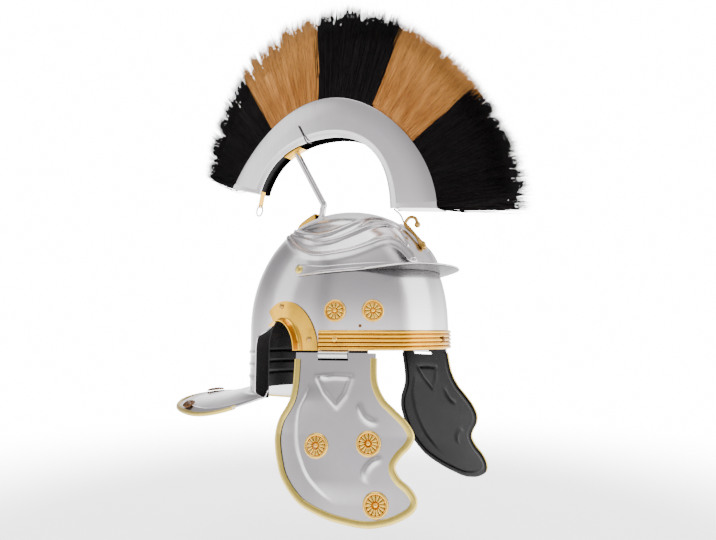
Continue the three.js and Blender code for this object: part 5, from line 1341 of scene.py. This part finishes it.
def plume_band(context, crest, start, band, chance):
    sizes, drop = context.scene.helmet_plume, crest.bowl.drop
    end = band["up_to"]
    inset = math.degrees((crest.sizes.sheet + SEAT) / crest.sizes.inner_radius)
    first = start + (inset if start == crest.sizes.rear_angle else 0.1)
    last = end - (inset if end == crest.sizes.front_angle else 0.1)
    shape = Shape()
    angles = np.linspace(first + 0.6, last - 0.6, 30)
    level = np.concatenate([np.linspace(0, 1, 8), np.linspace(1, 0, 8)[1:-1]])
    side = np.concatenate([-np.ones(7), [0], np.ones(6)])
    ragged = chance.uniform(0.9, 1.02, (30, len(level)))
    up = level[None] * sizes.core * ragged
    half = (sizes.root_half + (sizes.tip_half - sizes.root_half) * up) * side[None] * 0.86
    root = crest.depth(angles, np.full(30, crest.sizes.floor + crest.sizes.sheet + SEAT))
    edge = crest.point(angles, np.ones(30))
    tip = crest.tip(angles, sizes.reach)
    core = edge[:, None] + (tip - edge)[:, None] * up[..., None]
    core = core + half[..., None] * (1, 0, 0)
    core[:, [0, -1]] = root[:, None] + half[:, [0, -1], None] * (1, 0, 0)
    shape.sweep(core + drop)
    count = sizes.strands
    angle = chance.uniform(first, last, count)
    skin = chance.uniform(0, 1, count) < 0.6
    edge_x = np.where(chance.uniform(0, 1, count) < 0.5, -1, 1) * chance.uniform(0.72, 1, count)
    x = sizes.root_half * np.where(skin, edge_x, chance.uniform(-1, 1, count))
    locks = 70
    lock_angle = chance.uniform(first, last, locks)
    lock_x = chance.uniform(-1, 1, locks) * sizes.root_half
    gap = ((angle[:, None] - lock_angle[None]) / 1.6) ** 2 + ((x[:, None] - lock_x[None]) / 0.004) ** 2
    lock = gap.argmin(1)
    lock_length = 1 - sizes.uneven * 0.5 * chance.uniform(0, 1, locks) ** 2
    lock_lean = chance.normal(0, 0.7, locks)
    tip_angle = angle + (lock_angle[lock] - angle) * sizes.clumping + lock_lean[lock]
    tip_angle = tip_angle + chance.normal(0, 0.55, count)
    reach = lock_length[lock] * (1 - sizes.uneven * chance.uniform(0, 1, count) ** 1.4)
    stray = chance.uniform(0, 1, count) < 0.03
    reach = np.where(stray, 1.015, reach)
    tip_angle = np.where(stray, angle + chance.normal(0, 2.2, count), tip_angle)
    widen = sizes.tip_half / sizes.root_half
    tip_x = (x + (lock_x[lock] - x) * sizes.clumping) * widen * chance.uniform(0.8, 1.05, count)
    root = crest.depth(angle, np.full(count, crest.sizes.floor + 0.025))
    clipped = np.clip(tip_angle, crest.sizes.rear_angle - 1.5, crest.sizes.front_angle + 1)
    foot = crest.point(clipped, np.ones(count))
    tip = foot + (crest.tip(clipped, sizes.reach) - foot) * reach[:, None]
    begin = np.where(skin, 0.12, chance.uniform(0.3, 0.55, count))[:, None]
    steps = begin + (1 - begin) * np.array((0, 0.34, 0.68, 1))[None]
    path = root[:, None] + (tip - root)[:, None] * steps[..., None]
    path[..., 0] = x[:, None] + (tip_x - x)[:, None] * (np.maximum(steps - 0.22, 0) / 0.78) ** 1.1
    direction = unit(tip - root)
    across = stack(np.zeros(count), -direction[:, 2], direction[:, 1])
    bow = chance.normal(0, 0.0024, count)[:, None] * np.sin(steps * np.pi)
    path += bow[..., None] * across[:, None]
    path[..., 0] += chance.normal(0, 0.0009, count)[:, None] * np.sin(steps * np.pi)
    path[..., 2] -= (sizes.droop * direction[:, 1] ** 2)[:, None] * steps ** 2
    thick = sizes.strand_radius * chance.uniform(0.7, 1.25, count)[:, None] * np.array((1, 0.95, 0.7))[None]
    turns = np.radians((90, 210, 330))
    ring = np.cos(turns)[:, None] * np.array((1, 0, 0)) + np.sin(turns)[:, None] * across[:, None, None]
    rings = path[:, :3, None] + ring * thick[..., None, None]
    points = np.concatenate([rings.reshape(count, 9, 3), path[:, 3:]], 1) + drop
    sides = grid_faces(3, 3, True)
    spikes = np.array([(6, 7, 9), (7, 8, 9), (8, 6, 9)])
    first_point = (np.arange(count) * 10)[:, None, None]
    start_at = shape.count
    shape.add(points.reshape(-1, 3), (first_point + sides).reshape(-1, 4))
    shape.faces.append((first_point + spikes).reshape(-1, 3) + start_at)
    shape.looks.append(np.zeros(count * 3))
    finish = hair(band["tan"])
    shot = "tan_hair" if band["tan"] else "black_hair"
    shape.build(band["name"], [finish], shot, [band["name"]], outward=False, sharp=0)


def make_crest_fittings(context):
    """The crest's rod, its bracket on the box and the keeper on the crown."""
    crest = CrestForm(context.scene)
    sizes, bowl, drop = crest.sizes, crest.bowl, crest.bowl.drop
    radius = sizes.rod_radius
    top = crest.point(sizes.rod_top_angle, 0.0)
    knee = np.array(ROD_KNEE)
    off = radius + SEAT + FACET
    start = top + unit(knee - top) * (BRACKET_SHEET + SEAT * 2 + radius * 0.3)
    lower = bowl.crown(ROD_LANDS, off + 0.003)
    path = smooth_line([start, start + (knee - start) * 0.5, start + (knee - start) * 0.9, knee,
                        knee + (lower - knee) * 0.3, lower, bowl.crown(ROD_LIES, off),
                        bowl.crown(ROD_ENDS, off)], 110)
    rod = Shape().sweep(tube_rings(path + drop, radius, 28))
    rod.build("crest_rod", [steel()], "polished_steel", ["crest_rod"])
    angles = np.linspace(sizes.rod_top_angle - 8, sizes.rod_top_angle + 7, 30)
    half, sheet = BRACKET_HALF, BRACKET_SHEET
    right = np.array([(half - 0.0002, 0.0), (half, 0.0004), (half, sheet - 0.0003), (half - 0.0004, sheet)])
    section = np.vstack([right[:1] * (-1, 1), right, right[:0:-1] * (-1, 1)])
    inner, outer = crest.edges(angles)
    stations = (inner[:, None] + unit(inner - outer)[:, None] * (SEAT + section[None, :, 1:])
                + section[None, :, :1] * (1, 0, 0))
    shape = Shape().sweep(stations + drop)
    shape.build("crest_bracket", [brass("brass")], "brass", ["crest_bracket"])
    make_keeper(context, crest)


def make_keeper(context, crest):
    """A bridge of brass strip with side walls, which comes down onto the crown behind the rod's foot."""
    bowl, drop = crest.bowl, crest.bowl.drop
    half = crest.sizes.keeper_width / 2
    sheet = context.scene.helmet_brass.sheet
    front, top, foot, rear = column(KEEPER_PROFILE, "forward")
    forward = np.concatenate([np.linspace(rear, foot, 8), np.linspace(foot, top, 14)[1:],
                              np.linspace(top, front, 14)[1:]])
    rise = read(KEEPER_PROFILE, "forward", "rise", forward)
    line = bowl.crown(forward, np.full(len(forward), SEAT + FACET))
    section = np.array([(-half, 0.0), (half, 0.0), (half, sheet), (half - 0.0004, sheet * 1.4),
                        (0.0004 - half, sheet * 1.4), (-half, sheet)])
    up = (rise[:, None] + section[None, :, 1])[..., None] * (0, 0, 1)
    shape = Shape().sweep(line[:, None] + section[None, :, :1] * (1, 0, 0) + up + drop)
    low = forward <= foot + 0.0001
    corners = np.array([(0, 0), (1, 0), (1, 1), (0, 1)], float)
    up = (corners[None, :, 1] * (rise[low][:, None] + sheet * 0.7))[..., None] * (0, 0, 1)
    for x in (-half, half - sheet):
        shape.sweep(line[low][:, None] + (x + corners[None, :, :1] * sheet) * (1, 0, 0) + up + drop)
    shape.build("crest_keeper", [brass("brass")], "brass", ["crest_keeper"], sharp=35)


def make_hook_and_wires(context):
    """The brow hook with its rivet and the wires that hold the crest."""
    crest = CrestForm(context.scene)
    sizes, bowl, drop = crest.sizes, crest.bowl, crest.bowl.drop
    off = SEAT + FACET + HOOK_RADIUS
    base = crest.edges(np.array(sizes.front_angle))[0][2] - sizes.hook_drop
    top = bowl.point(0.0, base + 0.02, off + SEAT * 3)
    curl = [top + (0, -place["forward"] * sizes.hook_reach, place["up"] * sizes.hook_rise)
            for place in HOOK_CURL]
    points = [bowl.point(0.0, base - 0.003, off), bowl.point(0.0, base + 0.009, off + SEAT), top, *curl]
    path = smooth_line(points, 90)
    run = np.linspace(0, 1, 90)
    widen = 1 + 0.8 * np.exp(-((run - 0.04) / 0.12) ** 2) + 0.3 * np.exp(-((run - 0.5) / 0.1) ** 2)
    shape = Shape().sweep(tube_rings(path + drop, HOOK_RADIUS * widen, 20, flat=0.8))
    end = path[-1] + (0, 0, -HOOK_BALL / 4) + drop
    for lean in (-1, 1):
        shape.sweep(dome_rivet(HOOK_BALL, HOOK_BALL, end, (0, lean, -0.4 * lean)))
    shape.build("front_hook", [brass("red_brass")], "brass", ["front_hook"], sharp=60)
    centre, normal = bowl.both(0.0, base)
    centre = centre + normal * (2 * SEAT + FACET + HOOK_RADIUS * 1.85) + drop
    make_rivet("front_hook_rivet", HOOK_RIVET, HOOK_RIVET * 0.66, centre, normal, brass("red_brass"))
    start = crest.point(sizes.front_angle - 1, 0.0) + (0, 0, -SEAT - WIRE_RADIUS)
    end = top + (0, HOOK_RADIUS - SEAT + WIRE_RADIUS, sizes.hook_rise * 0.4)
    middle = (start + end) / 2 + (0, -2 * WIRE_RADIUS, WIRE_RADIUS)
    make_wire("front_tie_wire", smooth_line([start, middle, end], 40) + drop, (1, 0, 0))
    side = -(sizes.thickness / 2 + SEAT + WIRE_RADIUS)
    hole = crest.point(SIDE_WIRE_HOLE, 0.5, side)
    edge = crest.depth(SIDE_WIRE_EDGE, -SEAT - WIRE_RADIUS, side)
    last = crest.depth(SIDE_WIRE_END, -SEAT - WIRE_RADIUS * 2, side + sizes.bevel * 2)
    path = smooth_line([hole, hole + (edge - hole) * 0.6, edge, last], 50) + drop
    make_wire("side_tie_wire", path, (0, 1, 0))


def make_wire(name, path, across):
    rings = tube_rings(path, WIRE_RADIUS, 10, across=across)
    Shape().sweep(rings).build(name, [wire_black()], "black_wire", [name])


def make_rear_tab(context):
    """The tab and wire ring at the crest's rear end."""
    crest = CrestForm(context.scene)
    drop = crest.bowl.drop
    sheet = context.scene.helmet_brass.sheet
    tilt = math.radians(14)
    angle = crest.sizes.rear_angle + 2
    top = crest.depth(angle, crest.sizes.floor - SEAT - FACET / 2 - sheet / 2)
    down = np.array((0, math.sin(tilt), -math.cos(tilt)))
    back = np.array((0, math.cos(tilt), math.sin(tilt)))
    length, half, hole = 0.02, 0.0035, 0.0014
    middle = length - 0.0029
    turns = np.linspace(0, 2 * np.pi, 49)[:-1]
    ring = np.stack([np.cos(turns), np.sin(turns)], -1)
    square = ring / np.maximum(np.abs(ring[:, :1]), np.abs(ring[:, 1:]))
    rounded = np.where(ring[:, 1:] > 0.2, ring, square)
    sizes = np.stack([np.full(48, half), np.where(ring[:, 1] > 0, length - middle, middle)], -1)
    steps = np.linspace(0, 1, 9)[:, None, None]
    flat = (ring * hole)[None] * (1 - steps) + (rounded * sizes)[None] * steps
    place = top + flat[..., :1] * (1, 0, 0) + (middle + flat[..., 1:]) * down
    faces = grid_faces(9, 48, True)
    shape = Shape().sheet(place + back * sheet / 2 + drop, place - back * sheet / 2 + drop, faces)
    shape.build("rear_tab", [brass("brass")], "brass", ["rear_tab"])
    half_width, half_height = 0.0046, 0.0065
    turns = np.linspace(0, 2 * np.pi, 72, endpoint=False)
    around = np.linspace(0, 2 * np.pi, 12, endpoint=False)
    centre = top + down * (middle - WIRE_RADIUS / 3 + half_height)
    out = np.cos(around) * WIRE_RADIUS
    x = np.sin(around) * WIRE_RADIUS
    stations = (centre + ((half_width + out)[None] * np.cos(turns)[:, None])[..., None] * back
                - ((half_height + out)[None] * np.sin(turns)[:, None])[..., None] * down
                + x[None, :, None] * (1, 0, 0))
    hoop = Shape().sweep(stations + drop, loop=True)
    hoop.build("rear_ring", [wire_black()], "black_wire", ["rear_ring"])


# Finishes

class Value:
    """A number that varies over a surface and can be written in sums."""

    def __init__(self, finish, socket):
        self.finish = finish
        self.socket = socket

    def math(self, operation, first, second=0.0):
        made = self.finish.node("ShaderNodeMath", {"operation": operation}, {0: first, 1: second})
        return Value(self.finish, made.outputs[0])

    def __add__(self, other):
        return self.math("ADD", self, other)

    __radd__ = __add__

    def __sub__(self, other):
        return self.math("SUBTRACT", self, other)

    def __rsub__(self, other):
        return self.math("SUBTRACT", other, self)

    def __mul__(self, other):
        return self.math("MULTIPLY", self, other)

    __rmul__ = __mul__

    def __pow__(self, other):
        return self.math("POWER", self, other)

    def between(self, low, high):
        """Goes smoothly from 0 at low to 1 at high."""
        made = self.finish.node("ShaderNodeMapRange", {"interpolation_type": "SMOOTHSTEP"},
                                {"Value": self, "From Min": low, "From Max": high})
        return Value(self.finish, made.outputs["Result"])


class Finish:
    """One material, or the world, and the nodes that make it."""

    made = {}

    def __init__(self, name, world=False):
        self.material = (bpy.data.worlds if world else bpy.data.materials).new(name)
        self.material.use_nodes = True
        self.tree = self.material.node_tree
        self.tree.nodes.clear()
        self.place = self.node("ShaderNodeTexCoord").outputs["Generated" if world else "Object"]

    def node(self, kind, settings=None, inputs=None):
        made = self.tree.nodes.new(kind)
        for key, value in (settings or {}).items():
            setattr(made, key, value)
        for key, value in (inputs or {}).items():
            if isinstance(value, Value):
                value = value.socket
            if isinstance(value, bpy.types.NodeSocket):
                self.tree.links.new(value, made.inputs[key])
            else:
                made.inputs[key].default_value = value
        return made

    def stretched(self, scale):
        return self.node("ShaderNodeMapping", None, {"Vector": self.place, "Scale": scale}).outputs[0]

    def noise(self, scale, detail=3.0, roughness=0.5, place=None):
        inputs = {"Vector": place or self.place, "Scale": scale, "Detail": detail, "Roughness": roughness}
        return Value(self, self.node("ShaderNodeTexNoise", None, inputs).outputs[0])

    def mixed(self, factor, first, second):
        inputs = {0: factor}
        for key, value in ((6, first), (7, second)):
            inputs[key] = value if isinstance(value, bpy.types.NodeSocket) else (*value, 1)
        return self.node("ShaderNodeMix", {"data_type": "RGBA"}, inputs).outputs[2]

    def bump(self, height, strength, distance, below=None):
        inputs = {"Height": height, "Strength": strength, "Distance": distance}
        if below is not None:
            inputs["Normal"] = below
        return self.node("ShaderNodeBump", None, inputs).outputs[0]

    def surface(self, **inputs):
        named = {key.replace("_", " "): value for key, value in inputs.items()}
        shader = self.node("ShaderNodeBsdfPrincipled", None, named)
        self.node("ShaderNodeOutputMaterial", None, {"Surface": shader.outputs[0]})
        return self.material


def once(build):
    """Makes a finish the first time that it is asked for."""
    def finish(*kind):
        key = (build.__name__, *kind)
        if key not in Finish.made:
            Finish.made[key] = build(*kind)
        return Finish.made[key]
    return finish


def shade(colour_of, factor):
    return tuple(min(part * factor, 1) for part in colour_of)


def tint(colour_of, factors):
    return tuple(part * factor for part, factor in zip(colour_of, factors))


@once
def steel():
    colours = bpy.context.scene.helmet_finish
    made = Finish("polished_steel")
    base = tuple(colours.steel)
    streaks = made.noise(1, 3, 0.6, made.stretched((420, 420, 14)))
    cloud = made.noise(26, 4, 0.55)
    tone = made.mixed(streaks.between(0.3, 0.72) * 0.22, shade(base, 1.04), shade(base, 0.92))
    tone = made.mixed(cloud.between(0.5, 0.75) * 0.3, tone, tint(base, (0.84, 0.83, 0.88)))
    rough = colours.steel_roughness + (streaks - 0.5) * 0.1 + (cloud - 0.5) * 0.16
    waves = made.bump(made.noise(20, 1, 0.4), 0.3, 0.0014)
    fine = made.bump(streaks, 0.05, 0.0002, waves)
    return made.surface(Base_Color=tone, Metallic=1.0, Roughness=rough, Normal=fine)


@once
def brass(kind):
    """One of the brasses, with fine streaks and stains."""
    row = BRASSES[kind]
    made = Finish(kind)
    base = tuple(getattr(bpy.context.scene.helmet_finish, kind))
    stain = made.noise(row["scale"], 5, 0.6)
    fine = made.noise(900, 2, 0.6)
    streaks = made.noise(1, 3, 0.6, made.stretched((420, 420, 60)))
    tone = made.mixed(streaks.between(0.3, 0.75) * 0.35, base, shade(base, 0.86))
    tone = made.mixed(stain.between(0.5, 0.78) * row["depth"], tone, tint(base, row["stain"]))
    rough = row["rough"] + (stain - 0.5) * 0.22 + (fine - 0.5) * 0.08
    waves = made.bump(made.noise(60, 2, 0.4), 0.22, 0.0008)
    return made.surface(Base_Color=tone, Metallic=1.0, Roughness=rough,
                        Normal=made.bump(streaks * 0.5 + fine * 0.5, 0.1, 0.0002, waves))


@once
def paint():
    colours = bpy.context.scene.helmet_finish
    made = Finish("gloss_black_paint")
    base = tuple(colours.paint)
    flow = made.noise(45, 3, 0.5)
    dust = made.noise(700, 3, 0.7)
    tone = made.mixed(dust.between(0.55, 0.8) * 0.5, base, (0.004, 0.0035, 0.0035))
    rough = 0.26 + flow * 0.16 + dust.between(0.5, 0.8) * 0.14
    return made.surface(Base_Color=tone, Roughness=rough, Specular_IOR_Level=0.14,
                        Normal=made.bump(flow, 0.16, 0.0008))


@once
def wire_black():
    colours = bpy.context.scene.helmet_finish
    made = Finish("blackened_wire")
    base = tuple(colours.wire)
    scale = made.noise(1600, 3, 0.7)
    tone = made.mixed(scale.between(0.45, 0.7), base, shade(base, 4))
    return made.surface(Base_Color=tone, Roughness=0.4 + scale * 0.2, Specular_IOR_Level=0.2,
                        Normal=made.bump(scale, 0.3, 0.0002))


@once
def hair(tan):
    """Straight hair whose colour runs in streaks along the strands from the crest's centre."""
    scene = bpy.context.scene
    colours, crest = scene.helmet_finish, CrestForm(scene)
    made = Finish("tan_hair" if tan else "black_hair")
    split = made.node("ShaderNodeSeparateXYZ", None, {"Vector": made.place})
    centre_height = crest.sizes.outer_height + crest.bowl.drop[2]
    x = Value(made, split.outputs["X"])
    back = Value(made, split.outputs["Y"]) - crest.sizes.centre
    up = Value(made, split.outputs["Z"]) - float(centre_height)
    radius = (back * back + up * up) ** 0.5
    angle = made.node("ShaderNodeMath", {"operation": "ARCTAN2"}, {0: up, 1: back})
    angle = Value(made, angle.outputs[0])
    polar = made.node("ShaderNodeCombineXYZ", None, {"X": angle * 30.0, "Y": x * 300.0, "Z": radius * 9.0})
    streaks = made.noise(3.2, 4, 0.6, polar.outputs[0])
    locks = made.noise(0.9, 2, 0.5, polar.outputs[0])
    if tan:
        base, tips = tuple(colours.tan_hair), tuple(colours.tan_tips)
        far = radius.between(crest.sizes.outer_radius + 0.015, crest.sizes.outer_radius + 0.1)
        tone = made.mixed(far, base, tips)
        tone = made.mixed(streaks.between(0.42, 0.75) * 0.75, tone, shade(base, 0.42))
        tone = made.mixed(locks.between(0.45, 0.7) * 0.4, tone, shade(tips, 1.1))
    else:
        base = tuple(colours.black_hair)
        tone = made.mixed(streaks.between(0.45, 0.8), base, shade(base, 3))
        rust = made.noise(5, 2, 0.5, polar.outputs[0]).between(0.5, 0.75)
        tone = made.mixed(rust * 0.5, tone, (0.012, 0.004, 0.003))
    rough = 0.42 + streaks * 0.25
    return made.surface(Base_Color=tone, Roughness=rough, Specular_IOR_Level=0.25 if tan else 0.1)


# Stage

def make_stage(context):
    """Pale floor, soft boxes, a soft surround and the camera."""
    sizes = context.scene.helmet_stage
    mesh = bpy.data.meshes.new("floor")
    corners = 64
    turns = np.linspace(0, 2 * np.pi, corners, endpoint=False)
    rim = np.stack([np.cos(turns), np.sin(turns), np.zeros(corners)], -1) * sizes.floor_radius
    rim[:, 2] = sizes.floor_height
    mesh.from_pydata(rim.tolist(), [], [list(range(corners))])
    floor = add_object("floor", mesh)
    made = Finish("pale_floor")
    grain = made.noise(60, 3, 0.5)
    base = tuple(sizes.floor_colour)
    split = made.node("ShaderNodeSeparateXYZ", None, {"Vector": made.place})
    across, back = Value(made, split.outputs["X"]), Value(made, split.outputs["Y"])
    far = ((across * across + back * back) ** 0.5).between(sizes.floor_fade * 0.35, sizes.floor_fade)
    tone = made.mixed(grain, base, shade(base, 0.985))
    mesh.materials.append(made.surface(Base_Color=tone, Roughness=0.9, Specular_IOR_Level=0.1,
                                       Alpha=1 - far, Emission_Color=(1, 1, 1, 1),
                                       Emission_Strength=sizes.floor_glow))
    for lamp in LAMPS:
        soft_box(lamp["name"], lamp["place"], lamp["width"], lamp["height"], getattr(sizes, lamp["power"]))
    surround(context, sizes.sky, sizes.backdrop)
    camera_data = bpy.data.cameras.new("camera")
    camera_data.sensor_width = 36
    camera_data.lens = CAMERA_LENS
    camera_data.clip_start = 0.02
    camera = add_object("camera", camera_data)
    pitch = math.radians(CAMERA_PITCH)
    level = Vector((*CAMERA_HEADING, 0)) * math.cos(pitch)
    look = level + Vector((0, 0, math.sin(pitch)))
    camera.location = CAMERA_PLACE
    camera.rotation_euler = look.to_track_quat("-Z", "Y").to_euler()
    context.scene.camera = camera


def soft_box(name, place, width, height, power):
    data = bpy.data.lights.new(name, "AREA")
    data.shape = "RECTANGLE"
    data.size = width
    data.size_y = height
    data.energy = power
    lamp = add_object(name, data)
    lamp.location = place
    lamp.visible_camera = False
    lamp.rotation_euler = (-Vector(place)).to_track_quat("-Z", "Y").to_euler()


def surround(context, strength, backdrop):
    """A white backdrop to the eye, and a room of pale and grey panels in the steel."""
    made = Finish("studio", world=True)
    context.scene.world = made.material

    def ramp(value, low, high, rows):
        spread = made.node("ShaderNodeMapRange", None, {"Value": value, "From Min": low, "From Max": high})
        shades = made.node("ShaderNodeValToRGB", None, {0: spread.outputs["Result"]})
        elements = shades.color_ramp.elements
        for k, row in enumerate(rows):
            position = (row["at"] - low) / (high - low)
            element = elements[k] if k < 2 else elements.new(position)
            element.position = position
            element.color = (row["light"], row["light"] * 0.99, row["light"] * 1.01, 1)
        return shades.outputs[0]

    split = made.node("ShaderNodeSeparateXYZ", None, {0: made.place})
    turn = made.node("ShaderNodeMath", {"operation": "ARCTAN2"},
                     {0: split.outputs["Y"], 1: split.outputs["X"]})
    by_height = ramp(split.outputs["Z"], -1, 1, ROOM_BY_HEIGHT)
    by_side = ramp(turn.outputs[0], -math.pi, math.pi,
                   [{"at": math.radians(row["at"]), "light": row["light"]} for row in ROOM_BY_SIDE])
    product = made.node("ShaderNodeMix", {"data_type": "RGBA", "blend_type": "MULTIPLY"},
                        {0: 1, 6: by_height, 7: by_side})
    room = made.node("ShaderNodeBackground", None, {"Color": product.outputs[2], "Strength": strength})
    plain = made.node("ShaderNodeBackground", None, {"Color": (1, 1, 1, 1), "Strength": backdrop})
    path = made.node("ShaderNodeLightPath")
    blend = made.node("ShaderNodeMixShader", None,
                      {0: path.outputs["Is Camera Ray"], 1: room.outputs[0], 2: plain.outputs[0]})
    made.node("ShaderNodeOutputWorld", None, {"Surface": blend.outputs[0]})


# Operators, panel and registration

class HELMET_OT_stage(bpy.types.Operator):
    """Lay the floor and set the lights and the camera"""
    bl_idname = "helmet.stage"
    bl_label = "Stage"

    def execute(self, context):
        make_stage(context)
        return {"FINISHED"}


class HELMET_OT_bowl(bpy.types.Operator):
    """Beat the bowl with its eyebrows, ear arches and nape"""
    bl_idname = "helmet.bowl"
    bl_label = "Bowl"

    def execute(self, context):
        make_bowl(context)
        return {"FINISHED"}


class HELMET_OT_neck_guard(bpy.types.Operator):
    """Add the neck guard, its trim and its leaves"""
    bl_idname = "helmet.neck_guard"
    bl_label = "Neck guard"

    def execute(self, context):
        make_neck_guard(context)
        make_guard_trim(context)
        make_leaves(context)
        return {"FINISHED"}


class HELMET_OT_peak(bpy.types.Operator):
    """Rivet the peak over the brow"""
    bl_idname = "helmet.peak"
    bl_label = "Peak"

    def execute(self, context):
        make_peak(context)
        return {"FINISHED"}


class HELMET_OT_brow_band(bpy.types.Operator):
    """Fit the ribbed brow band"""
    bl_idname = "helmet.brow_band"
    bl_label = "Brow band"

    def execute(self, context):
        make_brow_band(context)
        return {"FINISHED"}


class HELMET_OT_ear_guards(bpy.types.Operator):
    """Fit the ear guards and their rivets"""
    bl_idname = "helmet.ear_guards"
    bl_label = "Ear guards"

    def execute(self, context):
        make_ear_guards(context)
        return {"FINISHED"}


class HELMET_OT_rosettes(bpy.types.Operator):
    """Set the bowl's rosettes and nails"""
    bl_idname = "helmet.rosettes"
    bl_label = "Bowl rosettes"

    def execute(self, context):
        make_rosettes(context)
        return {"FINISHED"}


class HELMET_OT_cheek_pieces(bpy.types.Operator):
    """Hang the cheek pieces with their bindings and rosettes"""
    bl_idname = "helmet.cheek_pieces"
    bl_label = "Cheek pieces"

    def execute(self, context):
        make_cheek_pieces(context)
        return {"FINISHED"}


class HELMET_OT_crest_box(bpy.types.Operator):
    """Bend the crest's steel channel"""
    bl_idname = "helmet.crest_box"
    bl_label = "Crest box"

    def execute(self, context):
        make_crest_box(context)
        return {"FINISHED"}


class HELMET_OT_plume(bpy.types.Operator):
    """Fill the crest with its five bands of horsehair"""
    bl_idname = "helmet.plume"
    bl_label = "Plume"

    def execute(self, context):
        make_plume(context)
        return {"FINISHED"}


class HELMET_OT_crest_fittings(bpy.types.Operator):
    """Fit the crest's rod, bracket and keeper"""
    bl_idname = "helmet.crest_fittings"
    bl_label = "Crest fittings"

    def execute(self, context):
        make_crest_fittings(context)
        return {"FINISHED"}


class HELMET_OT_hook_and_wires(bpy.types.Operator):
    """Add the front hook and the wires that tie the crest"""
    bl_idname = "helmet.hook_and_wires"
    bl_label = "Hook and wires"

    def execute(self, context):
        make_hook_and_wires(context)
        return {"FINISHED"}


class HELMET_OT_rear_tab(bpy.types.Operator):
    """Hang the tab and ring at the crest's rear end"""
    bl_idname = "helmet.rear_tab"
    bl_label = "Rear tab"

    def execute(self, context):
        make_rear_tab(context)
        return {"FINISHED"}


OPERATORS = (
    HELMET_OT_stage, HELMET_OT_bowl, HELMET_OT_neck_guard, HELMET_OT_peak, HELMET_OT_brow_band,
    HELMET_OT_ear_guards, HELMET_OT_rosettes, HELMET_OT_cheek_pieces, HELMET_OT_crest_box,
    HELMET_OT_plume, HELMET_OT_crest_fittings, HELMET_OT_hook_and_wires, HELMET_OT_rear_tab,
)
GROUPS = {
    "helmet_bowl": BowlSizes, "helmet_guard": GuardSizes, "helmet_peak": PeakSizes,
    "helmet_brass": BrassSizes,
    "helmet_rosettes": RosetteSizes, "helmet_cheek": CheekSizes, "helmet_crest": CrestSizes,
    "helmet_plume": PlumeSizes, "helmet_finish": FinishColours, "helmet_stage": StageSizes,
}


class HELMET_PT_panel(bpy.types.Panel):
    """Lists the helmet's pieces, sizes and colours"""
    bl_idname = "HELMET_PT_panel"
    bl_label = "Legionary helmet"
    bl_space_type = "VIEW_3D"
    bl_region_type = "UI"
    bl_category = "Helmet"

    def draw(self, context):
        for operator in OPERATORS:
            self.layout.operator(operator.bl_idname)
        for group, kind in GROUPS.items():
            box = self.layout.box()
            box.label(text=kind.__name__)
            for name in kind.__annotations__:
                box.prop(getattr(context.scene, group), name)


def register():
    for group, kind in GROUPS.items():
        bpy.utils.register_class(kind)
        setattr(bpy.types.Scene, group, PointerProperty(type=kind))
    for kind in (*OPERATORS, HELMET_PT_panel):
        bpy.utils.register_class(kind)


def unregister():
    for kind in (HELMET_PT_panel, *reversed(OPERATORS)):
        bpy.utils.unregister_class(kind)
    for group, kind in GROUPS.items():
        delattr(bpy.types.Scene, group)
        bpy.utils.unregister_class(kind)


def main():
    register()
    for operator in OPERATORS:
        group, name = operator.bl_idname.split(".")
        getattr(getattr(bpy.ops, group), name)()


if __name__ == "__main__":
    main()
